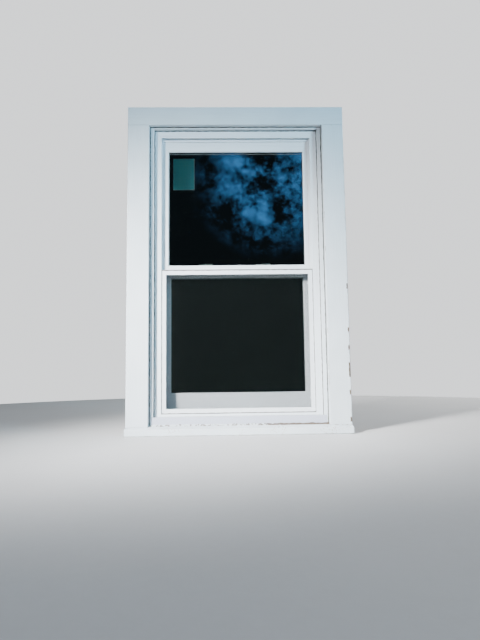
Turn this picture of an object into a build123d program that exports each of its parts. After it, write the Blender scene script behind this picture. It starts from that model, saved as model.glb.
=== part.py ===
# Double-hung sash window: painted wood casing, sill and jambs, with a white vinyl frame set in them.
# Two tilt-in sashes slide on spiral balances, and a half screen slides in front of the lower sash.
# Millimetres. X runs along the wall, +Y into the room, +Z up.
# Origin: centre line of the window, on the wall face behind the casing, level with the sill's underside.
from math import ceil, radians, tan
import os

from build123d import *

# Wood surround
OPENING_WIDTH = 720.0          # between the side casings
CASING_WIDTH = 89.0
CASING_THICKNESS = 19.0
HEAD_CASING_HEIGHT = 78.1
HEAD_CASING_BOTTOM = 1274.8
BLIND_STOP_SHOWN = 17.2        # ledge seen between side casing and vinyl frame
HEAD_STOP_SHOWN = 9.1          # the same ledge under the head casing
BLIND_STOP_THICKNESS = 16.0
JAMB_THICKNESS = 19.0
JAMB_BACK = 116.0              # room-side edge of the wood jambs
INNER_STOP_WIDTH = 22.0
SILL_SLOPE = 10.0              # degrees, falling outwards
SILL_TOP_AT_FRAME = 39.0       # top of the wood sill where the vinyl frame stands
SILL_THICKNESS = 28.4          # measured upright
SILL_NOSE = 25.0               # how far the sill stands proud of the casing
DRIP_GROOVE = 4.0
DRIP_INSET = 8.0
EASED_EDGE = 1.5
ROUNDED_EDGE = 3.0

# Vinyl frame
FRAME_HIDDEN = 10.2            # frame edge that the side blind stops hide
HEAD_HIDDEN = 8.0
SHIM_GAP = 4.0                 # between vinyl frame and wood jamb
VINYL_WALL = 2.0
LEG_THICKNESS = 3.0
FACE_WIDTH = 40.0              # width of the frame's outer face
SCREEN_TRACK = 10.0
SCREEN_STOP_REACH = 50.0
POCKET_FLOOR = 36.0
TRACK_FLOOR = 32.0
TRACK_WIDTH = 30.5
DIVIDER = 3.0
GROOVE_NEAR = 8.0
GROOVE_FAR = 24.0
SLOT_WIDTH = 12.0
PIVOT_OFFSET = 5.0             # pivot to the room side of the sash's middle
SILL_LIP = 80.5
SILL_SHELF = 79.2
OUTER_BED = 82.0
BED_FALL = 3.0
INNER_BED = 87.5
SILL_DAM = 92.5
SILL_STOP_TOP = 92.0
ANGLE_TOP = 70.0
ANGLE_THICKNESS = 2.0
ANGLE_END_GAP = 9.0            # between the sill angle's end and the side casing

# Sashes
SASH_THICKNESS = 28.0
SASH_SIDE_GAP = 2.25
BITE = 12.0                    # depth of the glazing pocket
GLASS_BITE = 10.0
BEAD_DEPTH = 6.0
BEAD_BEVEL = 3.0
PANE = 3.0
AIR_GAP = 10.0
SPACER_WIDTH = 7.0
PILE_GROOVE = 2.0
PILE_WIDTH = 4.0
PILE_INSET = 5.0
CHAMBER_INSET = 4.5
LOWER_SASH_BOTTOM = 92.0
LOWER_STILE = 38.75
BOTTOM_RAIL = 69.6
LOWER_MEETING_RAIL = 40.3
LOWER_SASH_TOP = 683.0
UPPER_STILE = 34.25
TOP_RAIL = 59.5
UPPER_MEETING_RAIL = 40.0
UPPER_SASH_BOTTOM = 649.7
HOOK_THICKNESS = 1.2
HOOK_GAP = 0.45
HOOK_HEIGHT = 13.0
HOOK_STAND = 2.5               # upper sash's hook web above the sash's bottom edge
LIFT_REACH = 10.0
LIFT_THICKNESS = 3.0
LIFT_LIP = 7.0
LIFT_HEIGHT = 44.0             # lift rail above the bottom rail's underside

# Balances
PIVOT_HEIGHT = 12.0            # pivot above the sash's bottom edge
PIVOT_RADIUS = 6.5
PIVOT_LENGTH = 14.0
PIVOT_BAR_WIDTH = 10.0
PIVOT_BAR_THICKNESS = 5.0
PIVOT_BAR_LENGTH = 56.0
RUNNING_FIT = 0.05
SLIDING_FIT = 0.4
SHOE_DEPTH = 25.0
SHOE_BELOW = 14.0
SHOE_ABOVE = 26.0
ROD_WIDTH = 7.0
ROD_THICKNESS = 2.0
ROD_PITCH = 95.0
ROD_STEPS = 16                 # steps in one turn of the twist
LOWER_ROD_TOP = 720.0
UPPER_ROD_TOP = 1195.0
TUBE_RADIUS = 6.5
TUBE_WALL = 0.8
TUBE_BOTTOM = 700.0
TUBE_TOP = 1222.0
TUBE_PLUG = 17.0
TUBE_FROM_BACK = 17.0          # tube axis from the frame's back
SCREW_RADIUS = 2.0
SCREW_HEAD_RADIUS = 4.0
SCREW_HEAD = 1.5
SCREW_SIDES = 6
SCREW_GRIP = 10.0              # length in the wood jamb
FRAME_SCREW_HEIGHTS = (250.0, 1050.0)
SHIM_WIDTH = 30.0
SHIM_HEIGHT = 60.0

# Latches and locks
LATCH_HEIGHT = 6.0
LATCH_WIDTH = 10.0
LATCH_LENGTH = 58.0
LATCH_PROUD = 6.75
LATCH_TRAVEL = 8.0
LATCH_TAB = 9.0
LATCH_TAB_RISE = 3.5
LATCH_TAB_START = 5.0
LATCH_FIT = 0.3
LATCH_COVER = 2.7              # sash wall between latch and surface
LOCK_SPACING = 244.0
LOCK_BASE_LENGTH = 60.0
LOCK_BASE_WIDTH = 18.0
LOCK_BASE_THICKNESS = 3.0
LOCK_BOSS_RADIUS = 9.0
LOCK_BOSS_HEIGHT = 7.5
LOCK_PIN_RADIUS = 3.0
LOCK_AXIS_INSET = 9.25         # lock axis from the lower sash's outer face
CAM_RADIUS = 7.5
CAM_THICKNESS = 3.4
CAM_REACH = 17.4
CAM_NOSE_WIDTH = 8.0
LEVER_LENGTH = 38.0
LEVER_WIDTH = 9.0
LEVER_TIP = 6.5
LEVER_THICKNESS = 3.5
KEEPER_LENGTH = 36.0
KEEPER_WALL = 2.0
KEEPER_HEIGHT = 11.3
STICKER = (92.0, 139.0)
STICKER_THICKNESS = 0.3
STICKER_INSET = 15.6           # from the left edge of the daylight
STICKER_DROP = 20.9            # from its top edge

# Screen
SCREEN_BAR = 21.0
SCREEN_DEPTH = 8.6
SCREEN_TOP = 669.3
SCREEN_WALL = 1.0
SCREEN_SIDE_GAP = 1.7
SPLINE_GROOVE = 4.0
SPLINE_INSET = 14.0            # spline groove from the bar's outer edge
SPLINE_DEPTH = 4.0
MESH_THICKNESS = 0.4
PLUNGER_RADIUS = 1.6
PLUNGER_KNOB_RADIUS = 3.0
PLUNGER_KNOB_LENGTH = 5.0
PLUNGER_PROUD = 1.3
PLUNGER_TRAVEL = 4.0
PLUNGER_FROM_END = 60.0
PLUNGER_FIT = 0.05

# Sealants
CAULK = 4.0
BULB_WIDTH = 8.0
REST_GAP = 0.3

# Places worked out from the sizes above
HALF_OPENING = OPENING_WIDTH / 2
HALF_CASING = HALF_OPENING + CASING_WIDTH
FRAME_SHOWN = HALF_OPENING - BLIND_STOP_SHOWN
FRAME_HALF = FRAME_SHOWN + FRAME_HIDDEN
JAMB_FACE = FRAME_HALF + SHIM_GAP
JAMB_OUTSIDE = JAMB_FACE + JAMB_THICKNESS
FRAME_FRONT = BLIND_STOP_THICKNESS
HEAD_STOP_BOTTOM = HEAD_CASING_BOTTOM - HEAD_STOP_SHOWN
FRAME_TOP = HEAD_STOP_BOTTOM + HEAD_HIDDEN
HEAD_JAMB_BOTTOM = FRAME_TOP + SHIM_GAP
HEAD_JAMB_TOP = HEAD_JAMB_BOTTOM + JAMB_THICKNESS
CASING_TOP = HEAD_CASING_BOTTOM + HEAD_CASING_HEIGHT
SILL_FRONT = -CASING_THICKNESS - SILL_NOSE
SCREEN_FRONT = FRAME_FRONT + LEG_THICKNESS
STOP_FRONT = SCREEN_FRONT + SCREEN_TRACK
OUTER_TRACK = STOP_FRONT + LEG_THICKNESS
INNER_TRACK = OUTER_TRACK + TRACK_WIDTH + DIVIDER
FRAME_BACK_WALL = INNER_TRACK + TRACK_WIDTH
FRAME_BACK = FRAME_BACK_WALL + LEG_THICKNESS
SASH_HALF = FRAME_HALF - TRACK_FLOOR - SASH_SIDE_GAP
SASH_INSET = (TRACK_WIDTH - SASH_THICKNESS) / 2
UPPER_FRONT = OUTER_TRACK + SASH_INSET
LOWER_FRONT = INNER_TRACK + SASH_INSET
UPPER_SASH_TOP = FRAME_TOP - TRACK_FLOOR - SASH_SIDE_GAP
GLASS_DEPTH = 2 * PANE + AIR_GAP
GLASS_BACK = BEAD_DEPTH + GLASS_DEPTH
TUBE_X = FRAME_HALF - TUBE_FROM_BACK
CHANNEL_BACK = FRAME_HALF - VINYL_WALL
HOOK_HALF = SASH_HALF - UPPER_STILE
BIG = 2000.0


def sill_top(y):
    """Height of the sloping wood sill's top at depth y."""
    return SILL_TOP_AT_FRAME + (y - FRAME_FRONT) * tan(radians(SILL_SLOPE))


# Upright pieces start here, inside the wood sill at every depth, before the sill is cut from them
CUT_START = (sill_top(-CASING_THICKNESS) + sill_top(JAMB_BACK) - SILL_THICKNESS) / 2


def section(points, holes=()):
    """Flat face inside an outline, less its holes."""
    face = make_face(Polyline(*points, close=True))
    for hole in holes:
        face -= make_face(Polyline(*hole, close=True))
    return face


def along_x(points, x0, x1, holes=()):
    """Extrusion of a (y, z) section between two places on X."""
    return extrude(Plane.YZ.offset(x0) * section(points, holes), x1 - x0)


def along_y(points, y0, y1, holes=()):
    """Extrusion of an (x, z) section between two depths."""
    return extrude(Plane.XZ.offset(-y1) * section(points, holes), y1 - y0)


def along_z(points, z0, z1, holes=()):
    """Extrusion of an (x, y) section between two heights."""
    return extrude(Plane.XY.offset(z0) * section(points, holes), z1 - z0)


def block(x0, x1, y0, y1, z0, z1):
    """Box between its corners."""
    middle = Pos((x0 + x1) / 2, (y0 + y1) / 2, (z0 + z1) / 2)
    return middle * Box(abs(x1 - x0), abs(y1 - y0), abs(z1 - z0))


def flat_face(corners):
    """Flat face with the given corners."""
    return Face(Wire.make_polygon(corners, close=True))


def rod_x(radius, x0, x1, y, z):
    """Round bar along X."""
    return Pos((x0 + x1) / 2, y, z) * Rot(0, 90, 0) * Cylinder(radius, abs(x1 - x0))


def rod_z(radius, z0, z1, x, y):
    """Round bar along Z."""
    return Pos(x, y, (z0 + z1) / 2) * Cylinder(radius, z1 - z0)


def mirrored(shape):
    """The same piece on the other side of the window."""
    return mirror(shape, about=Plane.YZ)


def both(shape):
    """A piece and its mirror image, as separate solids."""
    return [shape, mirrored(shape)]


def solids_of(*shapes):
    """One compound of separate solids."""
    flat = []
    for shape in shapes:
        flat += list(shape) if isinstance(shape, (list, tuple)) else [shape]
    return Compound(children=[solid for shape in flat for solid in shape.solids()])


def mitred(profile, side, x0, x1, z0, z1, y0, width, holes=()):
    """One side of a rectangular frame, cut at 45 degrees at its ends.
    The profile is (u, v): u inwards from the frame's outer edge, v in depth from y0."""
    place = {
        "left": lambda u, v: (x0 + u, y0 + v),
        "right": lambda u, v: (x1 - u, y0 + v),
        "bottom": lambda u, v: (y0 + v, z0 + u),
        "top": lambda u, v: (y0 + v, z1 - u),
    }[side]
    points = [place(u, v) for u, v in profile]
    gaps = [[place(u, v) for u, v in hole] for hole in holes]
    if side in ("left", "right"):
        bar = along_z(points, z0, z1, gaps)
    else:
        bar = along_x(points, x0, x1, gaps)
    outline = {
        "left": ((x0, z0), (x0, z1), (x0 + width, z1 - width), (x0 + width, z0 + width)),
        "right": ((x1, z0), (x1, z1), (x1 - width, z1 - width), (x1 - width, z0 + width)),
        "bottom": ((x0, z0), (x1, z0), (x1 - width, z0 + width), (x0 + width, z0 + width)),
        "top": ((x0, z1), (x1, z1), (x1 - width, z1 - width), (x0 + width, z1 - width)),
    }[side]
    depths = [y0 + v for _, v in profile]
    return bar & along_y(outline, min(depths), max(depths))


# Wood surround
def make_sill():
    """Sloping sill with a drip groove under its nose; its horns carry the side casings."""
    rise = sill_top(JAMB_BACK) - sill_top(SILL_FRONT)
    bottom_front = sill_top(SILL_FRONT) - SILL_THICKNESS
    outline = (
        (SILL_FRONT, bottom_front),
        (SILL_FRONT, sill_top(SILL_FRONT)),
        (JAMB_BACK, sill_top(JAMB_BACK)),
        (JAMB_BACK, bottom_front + rise),
    )
    sill = along_x(outline, -HALF_CASING, HALF_CASING)
    nose = sill.edges().filter_by(Axis.X).group_by(Axis.Y)[0]
    sill = fillet(nose, ROUNDED_EDGE)
    groove_y = SILL_FRONT + DRIP_INSET
    sill -= block(-BIG, BIG, groove_y, groove_y + DRIP_GROOVE, bottom_front - DRIP_GROOVE,
                  bottom_front + DRIP_GROOVE)
    for corner in both(block(JAMB_OUTSIDE, BIG, 0, BIG, -BIG, BIG)):
        sill -= corner
    return sill


SILL = make_sill()


def make_side_casing():
    """Right-hand side casing, standing on the sill."""
    casing = block(HALF_OPENING, HALF_CASING, -CASING_THICKNESS, 0, CUT_START, HEAD_CASING_BOTTOM)
    front = casing.edges().filter_by(Axis.Z).group_by(Axis.Y)[0]
    return chamfer(front, EASED_EDGE) - SILL


def make_head_casing():
    """Head casing, lying across the side casings."""
    casing = block(-HALF_CASING, HALF_CASING, -CASING_THICKNESS, 0, HEAD_CASING_BOTTOM, CASING_TOP)
    front = casing.edges().filter_by(Axis.X).group_by(Axis.Y)[0]
    return chamfer(front, EASED_EDGE)


def make_side_blind_stop():
    """Right-hand blind stop, which the vinyl frame butts against."""
    return block(FRAME_SHOWN, JAMB_OUTSIDE, 0, FRAME_FRONT, CUT_START, HEAD_STOP_BOTTOM) - SILL


def make_side_jamb():
    """Right-hand wood jamb."""
    return block(JAMB_FACE, JAMB_OUTSIDE, FRAME_FRONT, JAMB_BACK, CUT_START, HEAD_JAMB_BOTTOM) - SILL


def make_inner_stops():
    """Stops on the room side: two uprights and one across the head."""
    reach = JAMB_FACE - INNER_STOP_WIDTH
    side = block(reach, JAMB_FACE, FRAME_BACK, JAMB_BACK, CUT_START, HEAD_JAMB_BOTTOM)
    inner_edge = side.edges().filter_by(Axis.Z).group_by(Axis.X)[0]
    side = fillet(inner_edge, ROUNDED_EDGE) - SILL
    head = block(-reach, reach, FRAME_BACK, JAMB_BACK, HEAD_JAMB_BOTTOM - INNER_STOP_WIDTH, HEAD_JAMB_BOTTOM)
    return solids_of(both(side), head)


# Vinyl frame
def channel(floor_start):
    """Corners of one balance channel's slot and inside, starting at its track's outer edge.
    They run along the track floor: outer lip, slot, hollow, slot, inner lip."""
    lip = TRACK_FLOOR - VINYL_WALL
    slot = floor_start + TRACK_WIDTH / 2 + PIVOT_OFFSET
    near = floor_start + VINYL_WALL
    far = floor_start + TRACK_WIDTH - VINYL_WALL
    return [
        (TRACK_FLOOR, slot - SLOT_WIDTH / 2), (lip, slot - SLOT_WIDTH / 2), (lip, near),
        (VINYL_WALL, near), (VINYL_WALL, far), (lip, far),
        (lip, slot + SLOT_WIDTH / 2), (TRACK_FLOOR, slot + SLOT_WIDTH / 2),
    ]


def frame_profile():
    """Section shared by the vinyl jambs and head: (u from the back, v from the outer face), and its chambers."""
    screen = LEG_THICKNESS
    stop = screen + SCREEN_TRACK
    outer = stop + LEG_THICKNESS
    inner = outer + TRACK_WIDTH + DIVIDER
    wall = inner + TRACK_WIDTH
    back = wall + LEG_THICKNESS
    profile = [
        (0, 0), (FACE_WIDTH, 0), (FACE_WIDTH, screen), (POCKET_FLOOR, screen), (POCKET_FLOOR, stop),
        (SCREEN_STOP_REACH, stop), (SCREEN_STOP_REACH, outer), (TRACK_FLOOR, outer),
        *channel(outer), *channel(inner),
        (TRACK_FLOOR, back), (GROOVE_FAR, back), (GROOVE_FAR, wall), (GROOVE_NEAR, wall),
        (GROOVE_NEAR, back), (0, back),
    ]
    screen_chamber = [
        (VINYL_WALL, screen), (TRACK_FLOOR, screen), (TRACK_FLOOR, outer - VINYL_WALL),
        (VINYL_WALL, outer - VINYL_WALL),
    ]
    divider_chamber = [
        (VINYL_WALL, inner - DIVIDER), (TRACK_FLOOR - VINYL_WALL, inner - DIVIDER),
        (TRACK_FLOOR - VINYL_WALL, inner), (VINYL_WALL, inner),
    ]
    return profile, [screen_chamber, divider_chamber]


def make_frame_side(side):
    """A vinyl jamb or the head, mitred at the top corners; jambs are cut to the wood sill's slope."""
    profile, chambers = frame_profile()
    reach = SCREEN_STOP_REACH + FACE_WIDTH
    bar = mitred(profile, side, -FRAME_HALF, FRAME_HALF, -BIG, FRAME_TOP, FRAME_FRONT, reach, chambers)
    if side == "top":
        return bar
    return (bar & block(-BIG, BIG, 0, JAMB_BACK, CUT_START, FRAME_TOP)) - SILL


def make_frame_sill(jambs):
    """Stepped hollow sill between the jambs, with a lip for the screen and a bed for each sash."""
    wall = VINYL_WALL
    outer_end = OUTER_TRACK + TRACK_WIDTH
    outline = (
        (FRAME_FRONT, sill_top(FRAME_FRONT)), (FRAME_FRONT, SILL_LIP), (FRAME_FRONT + wall, SILL_LIP),
        (FRAME_FRONT + wall, SILL_SHELF), (STOP_FRONT, SILL_SHELF), (STOP_FRONT, SILL_STOP_TOP),
        (OUTER_TRACK, SILL_STOP_TOP), (OUTER_TRACK, OUTER_BED), (outer_end, OUTER_BED + BED_FALL),
        (INNER_TRACK, OUTER_BED + BED_FALL), (INNER_TRACK, INNER_BED), (FRAME_BACK_WALL, INNER_BED),
        (FRAME_BACK_WALL, SILL_DAM), (FRAME_BACK, SILL_DAM), (FRAME_BACK, sill_top(FRAME_BACK)),
    )
    rib = (OUTER_TRACK + outer_end) / 2
    front_top = SILL_SHELF - wall
    front = (
        (FRAME_FRONT + wall, sill_top(FRAME_FRONT + wall) + wall), (rib, sill_top(rib) + wall),
        (rib, front_top), (FRAME_FRONT + wall, front_top),
    )
    back = FRAME_BACK - wall
    rear = (
        (rib + wall, sill_top(rib + wall) + wall), (back, sill_top(back) + wall),
        (back, INNER_BED - wall), (INNER_TRACK + wall, INNER_BED - wall),
        (INNER_TRACK + wall, OUTER_BED), (rib + wall, OUTER_BED - wall),
    )
    half = FRAME_HALF - TRACK_FLOOR
    sill = along_x(outline, -half, half, (front, rear))
    for jamb in jambs:
        sill -= jamb
    return sill


def make_sill_angle():
    """Angle strip that covers the joint between the vinyl sill and the wood sill."""
    half = HALF_OPENING - ANGLE_END_GAP
    front = -ANGLE_THICKNESS
    flange = (
        (front, ANGLE_TOP - ANGLE_THICKNESS), (front, ANGLE_TOP),
        (FRAME_FRONT, ANGLE_TOP), (FRAME_FRONT, ANGLE_TOP - ANGLE_THICKNESS),
    )
    leg = block(-half, half, front, 0, CUT_START, ANGLE_TOP) - SILL
    return leg + along_x(flange, -FRAME_SHOWN + REST_GAP, FRAME_SHOWN - REST_GAP)


def make_caulk():
    """Bead of caulk where the vinyl frame meets the blind stops and where the sill angle meets the sill."""
    back = FRAME_FRONT
    side = along_z(
        ((FRAME_SHOWN, back - CAULK), (FRAME_SHOWN, back), (FRAME_SHOWN - CAULK, back)),
        ANGLE_TOP, HEAD_STOP_BOTTOM - CAULK,
    )
    head = along_x(
        ((back - CAULK, HEAD_STOP_BOTTOM), (back, HEAD_STOP_BOTTOM), (back, HEAD_STOP_BOTTOM - CAULK)),
        -FRAME_SHOWN, FRAME_SHOWN,
    )
    foot_y = -ANGLE_THICKNESS
    foot = along_x(
        ((foot_y, sill_top(foot_y)), (foot_y, sill_top(foot_y) + CAULK), (foot_y - CAULK, sill_top(foot_y - CAULK))),
        -HALF_OPENING, HALF_OPENING,
    )
    return solids_of(both(side), head, foot)


# Sashes
def sash_profile(width):
    """Sash section: (u from the sash's edge, v from its outer face), and its L-shaped chamber."""
    base = width - BITE
    wall = VINYL_WALL
    profile = [
        (0, 0), (base, 0), (base, GLASS_BACK), (width, GLASS_BACK), (width, SASH_THICKNESS),
        (0, SASH_THICKNESS),
    ]
    chamber = [
        (CHAMBER_INSET, wall), (base - wall, wall), (base - wall, GLASS_BACK + wall),
        (width - wall, GLASS_BACK + wall), (width - wall, SASH_THICKNESS - wall),
        (CHAMBER_INSET, SASH_THICKNESS - wall),
    ]
    return profile, chamber


def make_stile(width, y0, z0, z1):
    """Right-hand stile, with a pile groove along its edge."""
    profile, chamber = sash_profile(width)
    points = [(SASH_HALF - u, y0 + v) for u, v in profile]
    hole = [(SASH_HALF - u, y0 + v) for u, v in chamber]
    stile = along_z(points, z0, z1, [hole])
    groove = block(SASH_HALF - PILE_GROOVE, SASH_HALF, y0 + PILE_INSET, y0 + PILE_INSET + PILE_WIDTH, z0, z1)
    return stile - groove


def make_rail(height, stile_width, y0, edge, inwards):
    """Rail between the stiles, notched round their glazing legs.
    edge is its outer height; inwards is +1 below the glass and -1 above it."""
    profile, chamber = sash_profile(height)
    points = [(y0 + v, edge + inwards * u) for u, v in profile]
    hole = [(y0 + v, edge + inwards * u) for u, v in chamber]
    half = SASH_HALF - (stile_width - BITE)
    rail = along_x(points, -half, half, [hole])
    for leg in both(block(half - BITE, BIG, y0 + GLASS_BACK, BIG, -BIG, BIG)):
        rail -= leg
    return rail


def make_glass(stile_width, y0, low, high):
    """Outer pane, inner pane and spacer of one sealed unit. low and high are the daylight edges."""
    half = SASH_HALF - stile_width + GLASS_BITE
    z0 = low - GLASS_BITE
    z1 = high + GLASS_BITE
    front = y0 + BEAD_DEPTH
    back = y0 + GLASS_BACK
    outer = block(-half, half, front, front + PANE, z0, z1)
    inner = block(-half, half, back - PANE, back, z0, z1)
    spacer = block(-half, half, front + PANE, back - PANE, z0, z1)
    inside = half - SPACER_WIDTH
    spacer -= block(-inside, inside, front, back, z0 + SPACER_WIDTH, z1 - SPACER_WIDTH)
    return outer, inner, spacer


def make_beads(stile_width, y0, low, high):
    """Four mitred glazing beads on the outer side, each with a bevel beside the glass."""
    half = SASH_HALF - stile_width + BITE
    profile = [
        (0, 0), (BITE - BEAD_BEVEL, 0), (BITE, BEAD_BEVEL), (BITE, BEAD_DEPTH), (0, BEAD_DEPTH),
    ]
    frame = (-half, half, low - BITE, high + BITE, y0, BITE)
    return solids_of([mitred(profile, side, *frame) for side in ("left", "right", "bottom", "top")])


def make_side_seals(y0, z0, z1):
    """Pile strips in both stiles' edge grooves, brushing the track floor."""
    x1 = FRAME_HALF - TRACK_FLOOR - REST_GAP
    y = y0 + PILE_INSET
    return both(block(SASH_HALF - PILE_GROOVE, x1, y, y + PILE_WIDTH, z0, z1))


def make_pivot_bar(y, z):
    """Right-hand pivot bar: a flat bar in the sash corner with a round journal in the balance shoe."""
    lip = FRAME_HALF - TRACK_FLOOR + VINYL_WALL + SLIDING_FIT
    half_width = PIVOT_BAR_WIDTH / 2
    half_thickness = PIVOT_BAR_THICKNESS / 2
    bar = block(SASH_HALF - PIVOT_BAR_LENGTH, lip, y - half_width, y + half_width,
                z - half_thickness, z + half_thickness)
    return bar + rod_x(PIVOT_RADIUS, lip, lip + PIVOT_LENGTH, y, z)


def make_shoe(track, z):
    """Right-hand balance shoe, with the bore that the pivot journal turns in."""
    x0 = FRAME_HALF - TRACK_FLOOR + VINYL_WALL + SLIDING_FIT
    y = track + TRACK_WIDTH / 2 + PIVOT_OFFSET
    near = track + VINYL_WALL + SLIDING_FIT
    far = track + TRACK_WIDTH - VINYL_WALL - SLIDING_FIT
    shoe = block(x0, x0 + SHOE_DEPTH, near, far, z - SHOE_BELOW, z + SHOE_ABOVE)
    shoe = chamfer(shoe.edges().filter_by(Axis.Y), EASED_EDGE)
    return shoe - rod_x(PIVOT_RADIUS + RUNNING_FIT, x0, x0 + PIVOT_LENGTH + SLIDING_FIT, y, z)


def make_rod(track, z0, z1):
    """Right-hand spiral rod: a flat strip twisted about its own axis, standing on the shoe.
    Each step of the twist is a ring of four corners, joined to the next ring by flat triangles. Opposite
    sides are split along opposite diagonals, which keeps the strip's thickness."""
    half_width = ROD_WIDTH / 2
    half_thickness = ROD_THICKNESS / 2
    corners = [
        (-half_width, -half_thickness), (half_width, -half_thickness), (half_width, half_thickness),
        (-half_width, half_thickness),
    ]
    steps = ceil((z1 - z0) / ROD_PITCH * ROD_STEPS)
    rings = []
    for step in range(steps + 1):
        height = z0 + (z1 - z0) * step / steps
        ring = Pos(TUBE_X, track + TRACK_WIDTH / 2, height) * Rot(0, 0, 360 * step / ROD_STEPS)
        rings.append([(ring * Pos(x, y)).position for x, y in corners])
    faces = [flat_face(rings[0]), flat_face(rings[-1])]
    for low, high in zip(rings, rings[1:]):
        for a, b in ((0, 1), (1, 2)):
            faces += [flat_face((low[a], low[b], high[b])), flat_face((low[a], high[b], high[a]))]
        for a, b in ((2, 3), (3, 0)):
            faces += [flat_face((low[a], low[b], high[a])), flat_face((low[b], high[b], high[a]))]
    return Solid(Shell(faces))


def make_tube(track):
    """Right-hand balance tube with the plug that is screwed to the jamb."""
    y = track + TRACK_WIDTH / 2
    tube = rod_z(TUBE_RADIUS, TUBE_BOTTOM, TUBE_TOP, TUBE_X, y)
    tube -= rod_z(TUBE_RADIUS - TUBE_WALL, TUBE_BOTTOM, TUBE_TOP - TUBE_PLUG, TUBE_X, y)
    plug = block(TUBE_X - TUBE_RADIUS, CHANNEL_BACK, y - TUBE_RADIUS, y + TUBE_RADIUS,
                 TUBE_TOP - TUBE_PLUG, TUBE_TOP)
    return tube + plug


def make_screw(head_x, y, z):
    """Right-hand screw along X, with its head at head_x and its point in the wood jamb."""
    axis = Plane((head_x, y, z), x_dir=(0, 1, 0), z_dir=(1, 0, 0))
    shank = extrude(axis * RegularPolygon(SCREW_RADIUS, SCREW_SIDES), JAMB_FACE + SCREW_GRIP - head_x)
    return shank + extrude(axis * RegularPolygon(SCREW_HEAD_RADIUS, 2 * SCREW_SIDES), -SCREW_HEAD)


def make_screws():
    """Screws that hold the balance tubes and the vinyl frame to the wood jambs."""
    screws = []
    for track in (OUTER_TRACK, INNER_TRACK):
        y = track + TRACK_WIDTH / 2
        screws += both(make_screw(TUBE_X - TUBE_RADIUS, y, TUBE_TOP - TUBE_PLUG / 2))
    y = INNER_TRACK + TRACK_WIDTH / 2
    for z in FRAME_SCREW_HEIGHTS:
        screws += both(make_screw(CHANNEL_BACK, y, z))
    return screws


def make_shims():
    """Shims behind the vinyl jambs, one pair at each frame screw."""
    y = INNER_TRACK + TRACK_WIDTH / 2
    shims = []
    for z in FRAME_SCREW_HEIGHTS:
        shims += both(block(FRAME_HALF, JAMB_FACE, y - SHIM_WIDTH / 2, y + SHIM_WIDTH / 2,
                            z - SHIM_HEIGHT / 2, z + SHIM_HEIGHT / 2))
    return shims


# Latches and locks
def latch_parts(track, low, surface, facing):
    """Right-hand tilt latch and the pocket cut for it. facing is "top" where the thumb tab stands up
    through the sash's top, and "room" where it stands out of the room-side face at that surface."""
    y = track + TRACK_WIDTH / 2 + PIVOT_OFFSET
    x1 = SASH_HALF + LATCH_PROUD
    x0 = x1 - LATCH_LENGTH
    half = LATCH_WIDTH / 2
    fit = LATCH_FIT
    bolt = block(x0, x1, y - half, y + half, low, low + LATCH_HEIGHT)
    pocket = block(x0 - LATCH_TRAVEL - fit, BIG, y - half - fit, y + half + fit, low - fit,
                   low + LATCH_HEIGHT + fit)
    tab0 = x0 + LATCH_TAB_START
    tab1 = tab0 + LATCH_TAB
    slot0 = tab0 - LATCH_TRAVEL - fit
    if facing == "top":
        side = half / 2
        bolt += block(tab0, tab1, y - side, y + side, low, surface + LATCH_TAB_RISE)
        pocket += block(slot0, tab1 + fit, y - side - fit, y + side + fit, low, surface)
    else:
        top = low + LATCH_HEIGHT - fit
        bolt += block(tab0, tab1, y, surface + LATCH_TAB_RISE / 2, low + fit, top)
        pocket += block(slot0, tab1 + fit, y, surface, low, top + fit)
    return bolt, pocket


def make_lock_base(x):
    """Lock base on the lower sash's top rail, with a boss bored for the cam's pin."""
    y = LOWER_FRONT + LOCK_AXIS_INSET
    z = LOWER_SASH_TOP
    plate = block(x - LOCK_BASE_LENGTH / 2, x + LOCK_BASE_LENGTH / 2, y - LOCK_BASE_WIDTH / 2,
                  y + LOCK_BASE_WIDTH / 2, z, z + LOCK_BASE_THICKNESS)
    plate = chamfer(plate.edges().filter_by(Axis.Z), ROUNDED_EDGE)
    boss = rod_z(LOCK_BOSS_RADIUS, z, z + LOCK_BASE_THICKNESS + LOCK_BOSS_HEIGHT, x, y)
    return plate + boss - rod_z(LOCK_PIN_RADIUS + RUNNING_FIT, z, z + BIG, x, y)


def make_lock_lever(x):
    """Cam and lever on one pin. Open, the cam's nose points into the room and the lever lies along X."""
    y = LOWER_FRONT + LOCK_AXIS_INSET
    z = LOWER_SASH_TOP
    cam_z = z + LOCK_BASE_THICKNESS + LOCK_BOSS_HEIGHT + REST_GAP
    lever_z = cam_z + CAM_THICKNESS
    pin = rod_z(LOCK_PIN_RADIUS, z + REST_GAP, cam_z, x, y)
    cam = rod_z(CAM_RADIUS, cam_z, lever_z, x, y)
    nose_end = y + CAM_REACH - CAM_NOSE_WIDTH / 2
    cam += block(x - CAM_NOSE_WIDTH / 2, x + CAM_NOSE_WIDTH / 2, y, nose_end, cam_z, lever_z)
    cam += rod_z(CAM_NOSE_WIDTH / 2, cam_z, lever_z, x, nose_end)
    tip = x - LEVER_LENGTH
    lever = along_z(
        ((x, y - LEVER_WIDTH / 2), (x, y + LEVER_WIDTH / 2), (tip, y + LEVER_TIP / 2), (tip, y - LEVER_TIP / 2)),
        lever_z, lever_z + LEVER_THICKNESS,
    )
    lever += rod_z(LEVER_WIDTH / 2, lever_z, lever_z + LEVER_THICKNESS, x, y)
    lever += rod_z(LEVER_TIP / 2, lever_z, lever_z + LEVER_THICKNESS, tip, y)
    return pin + cam + lever


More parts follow.
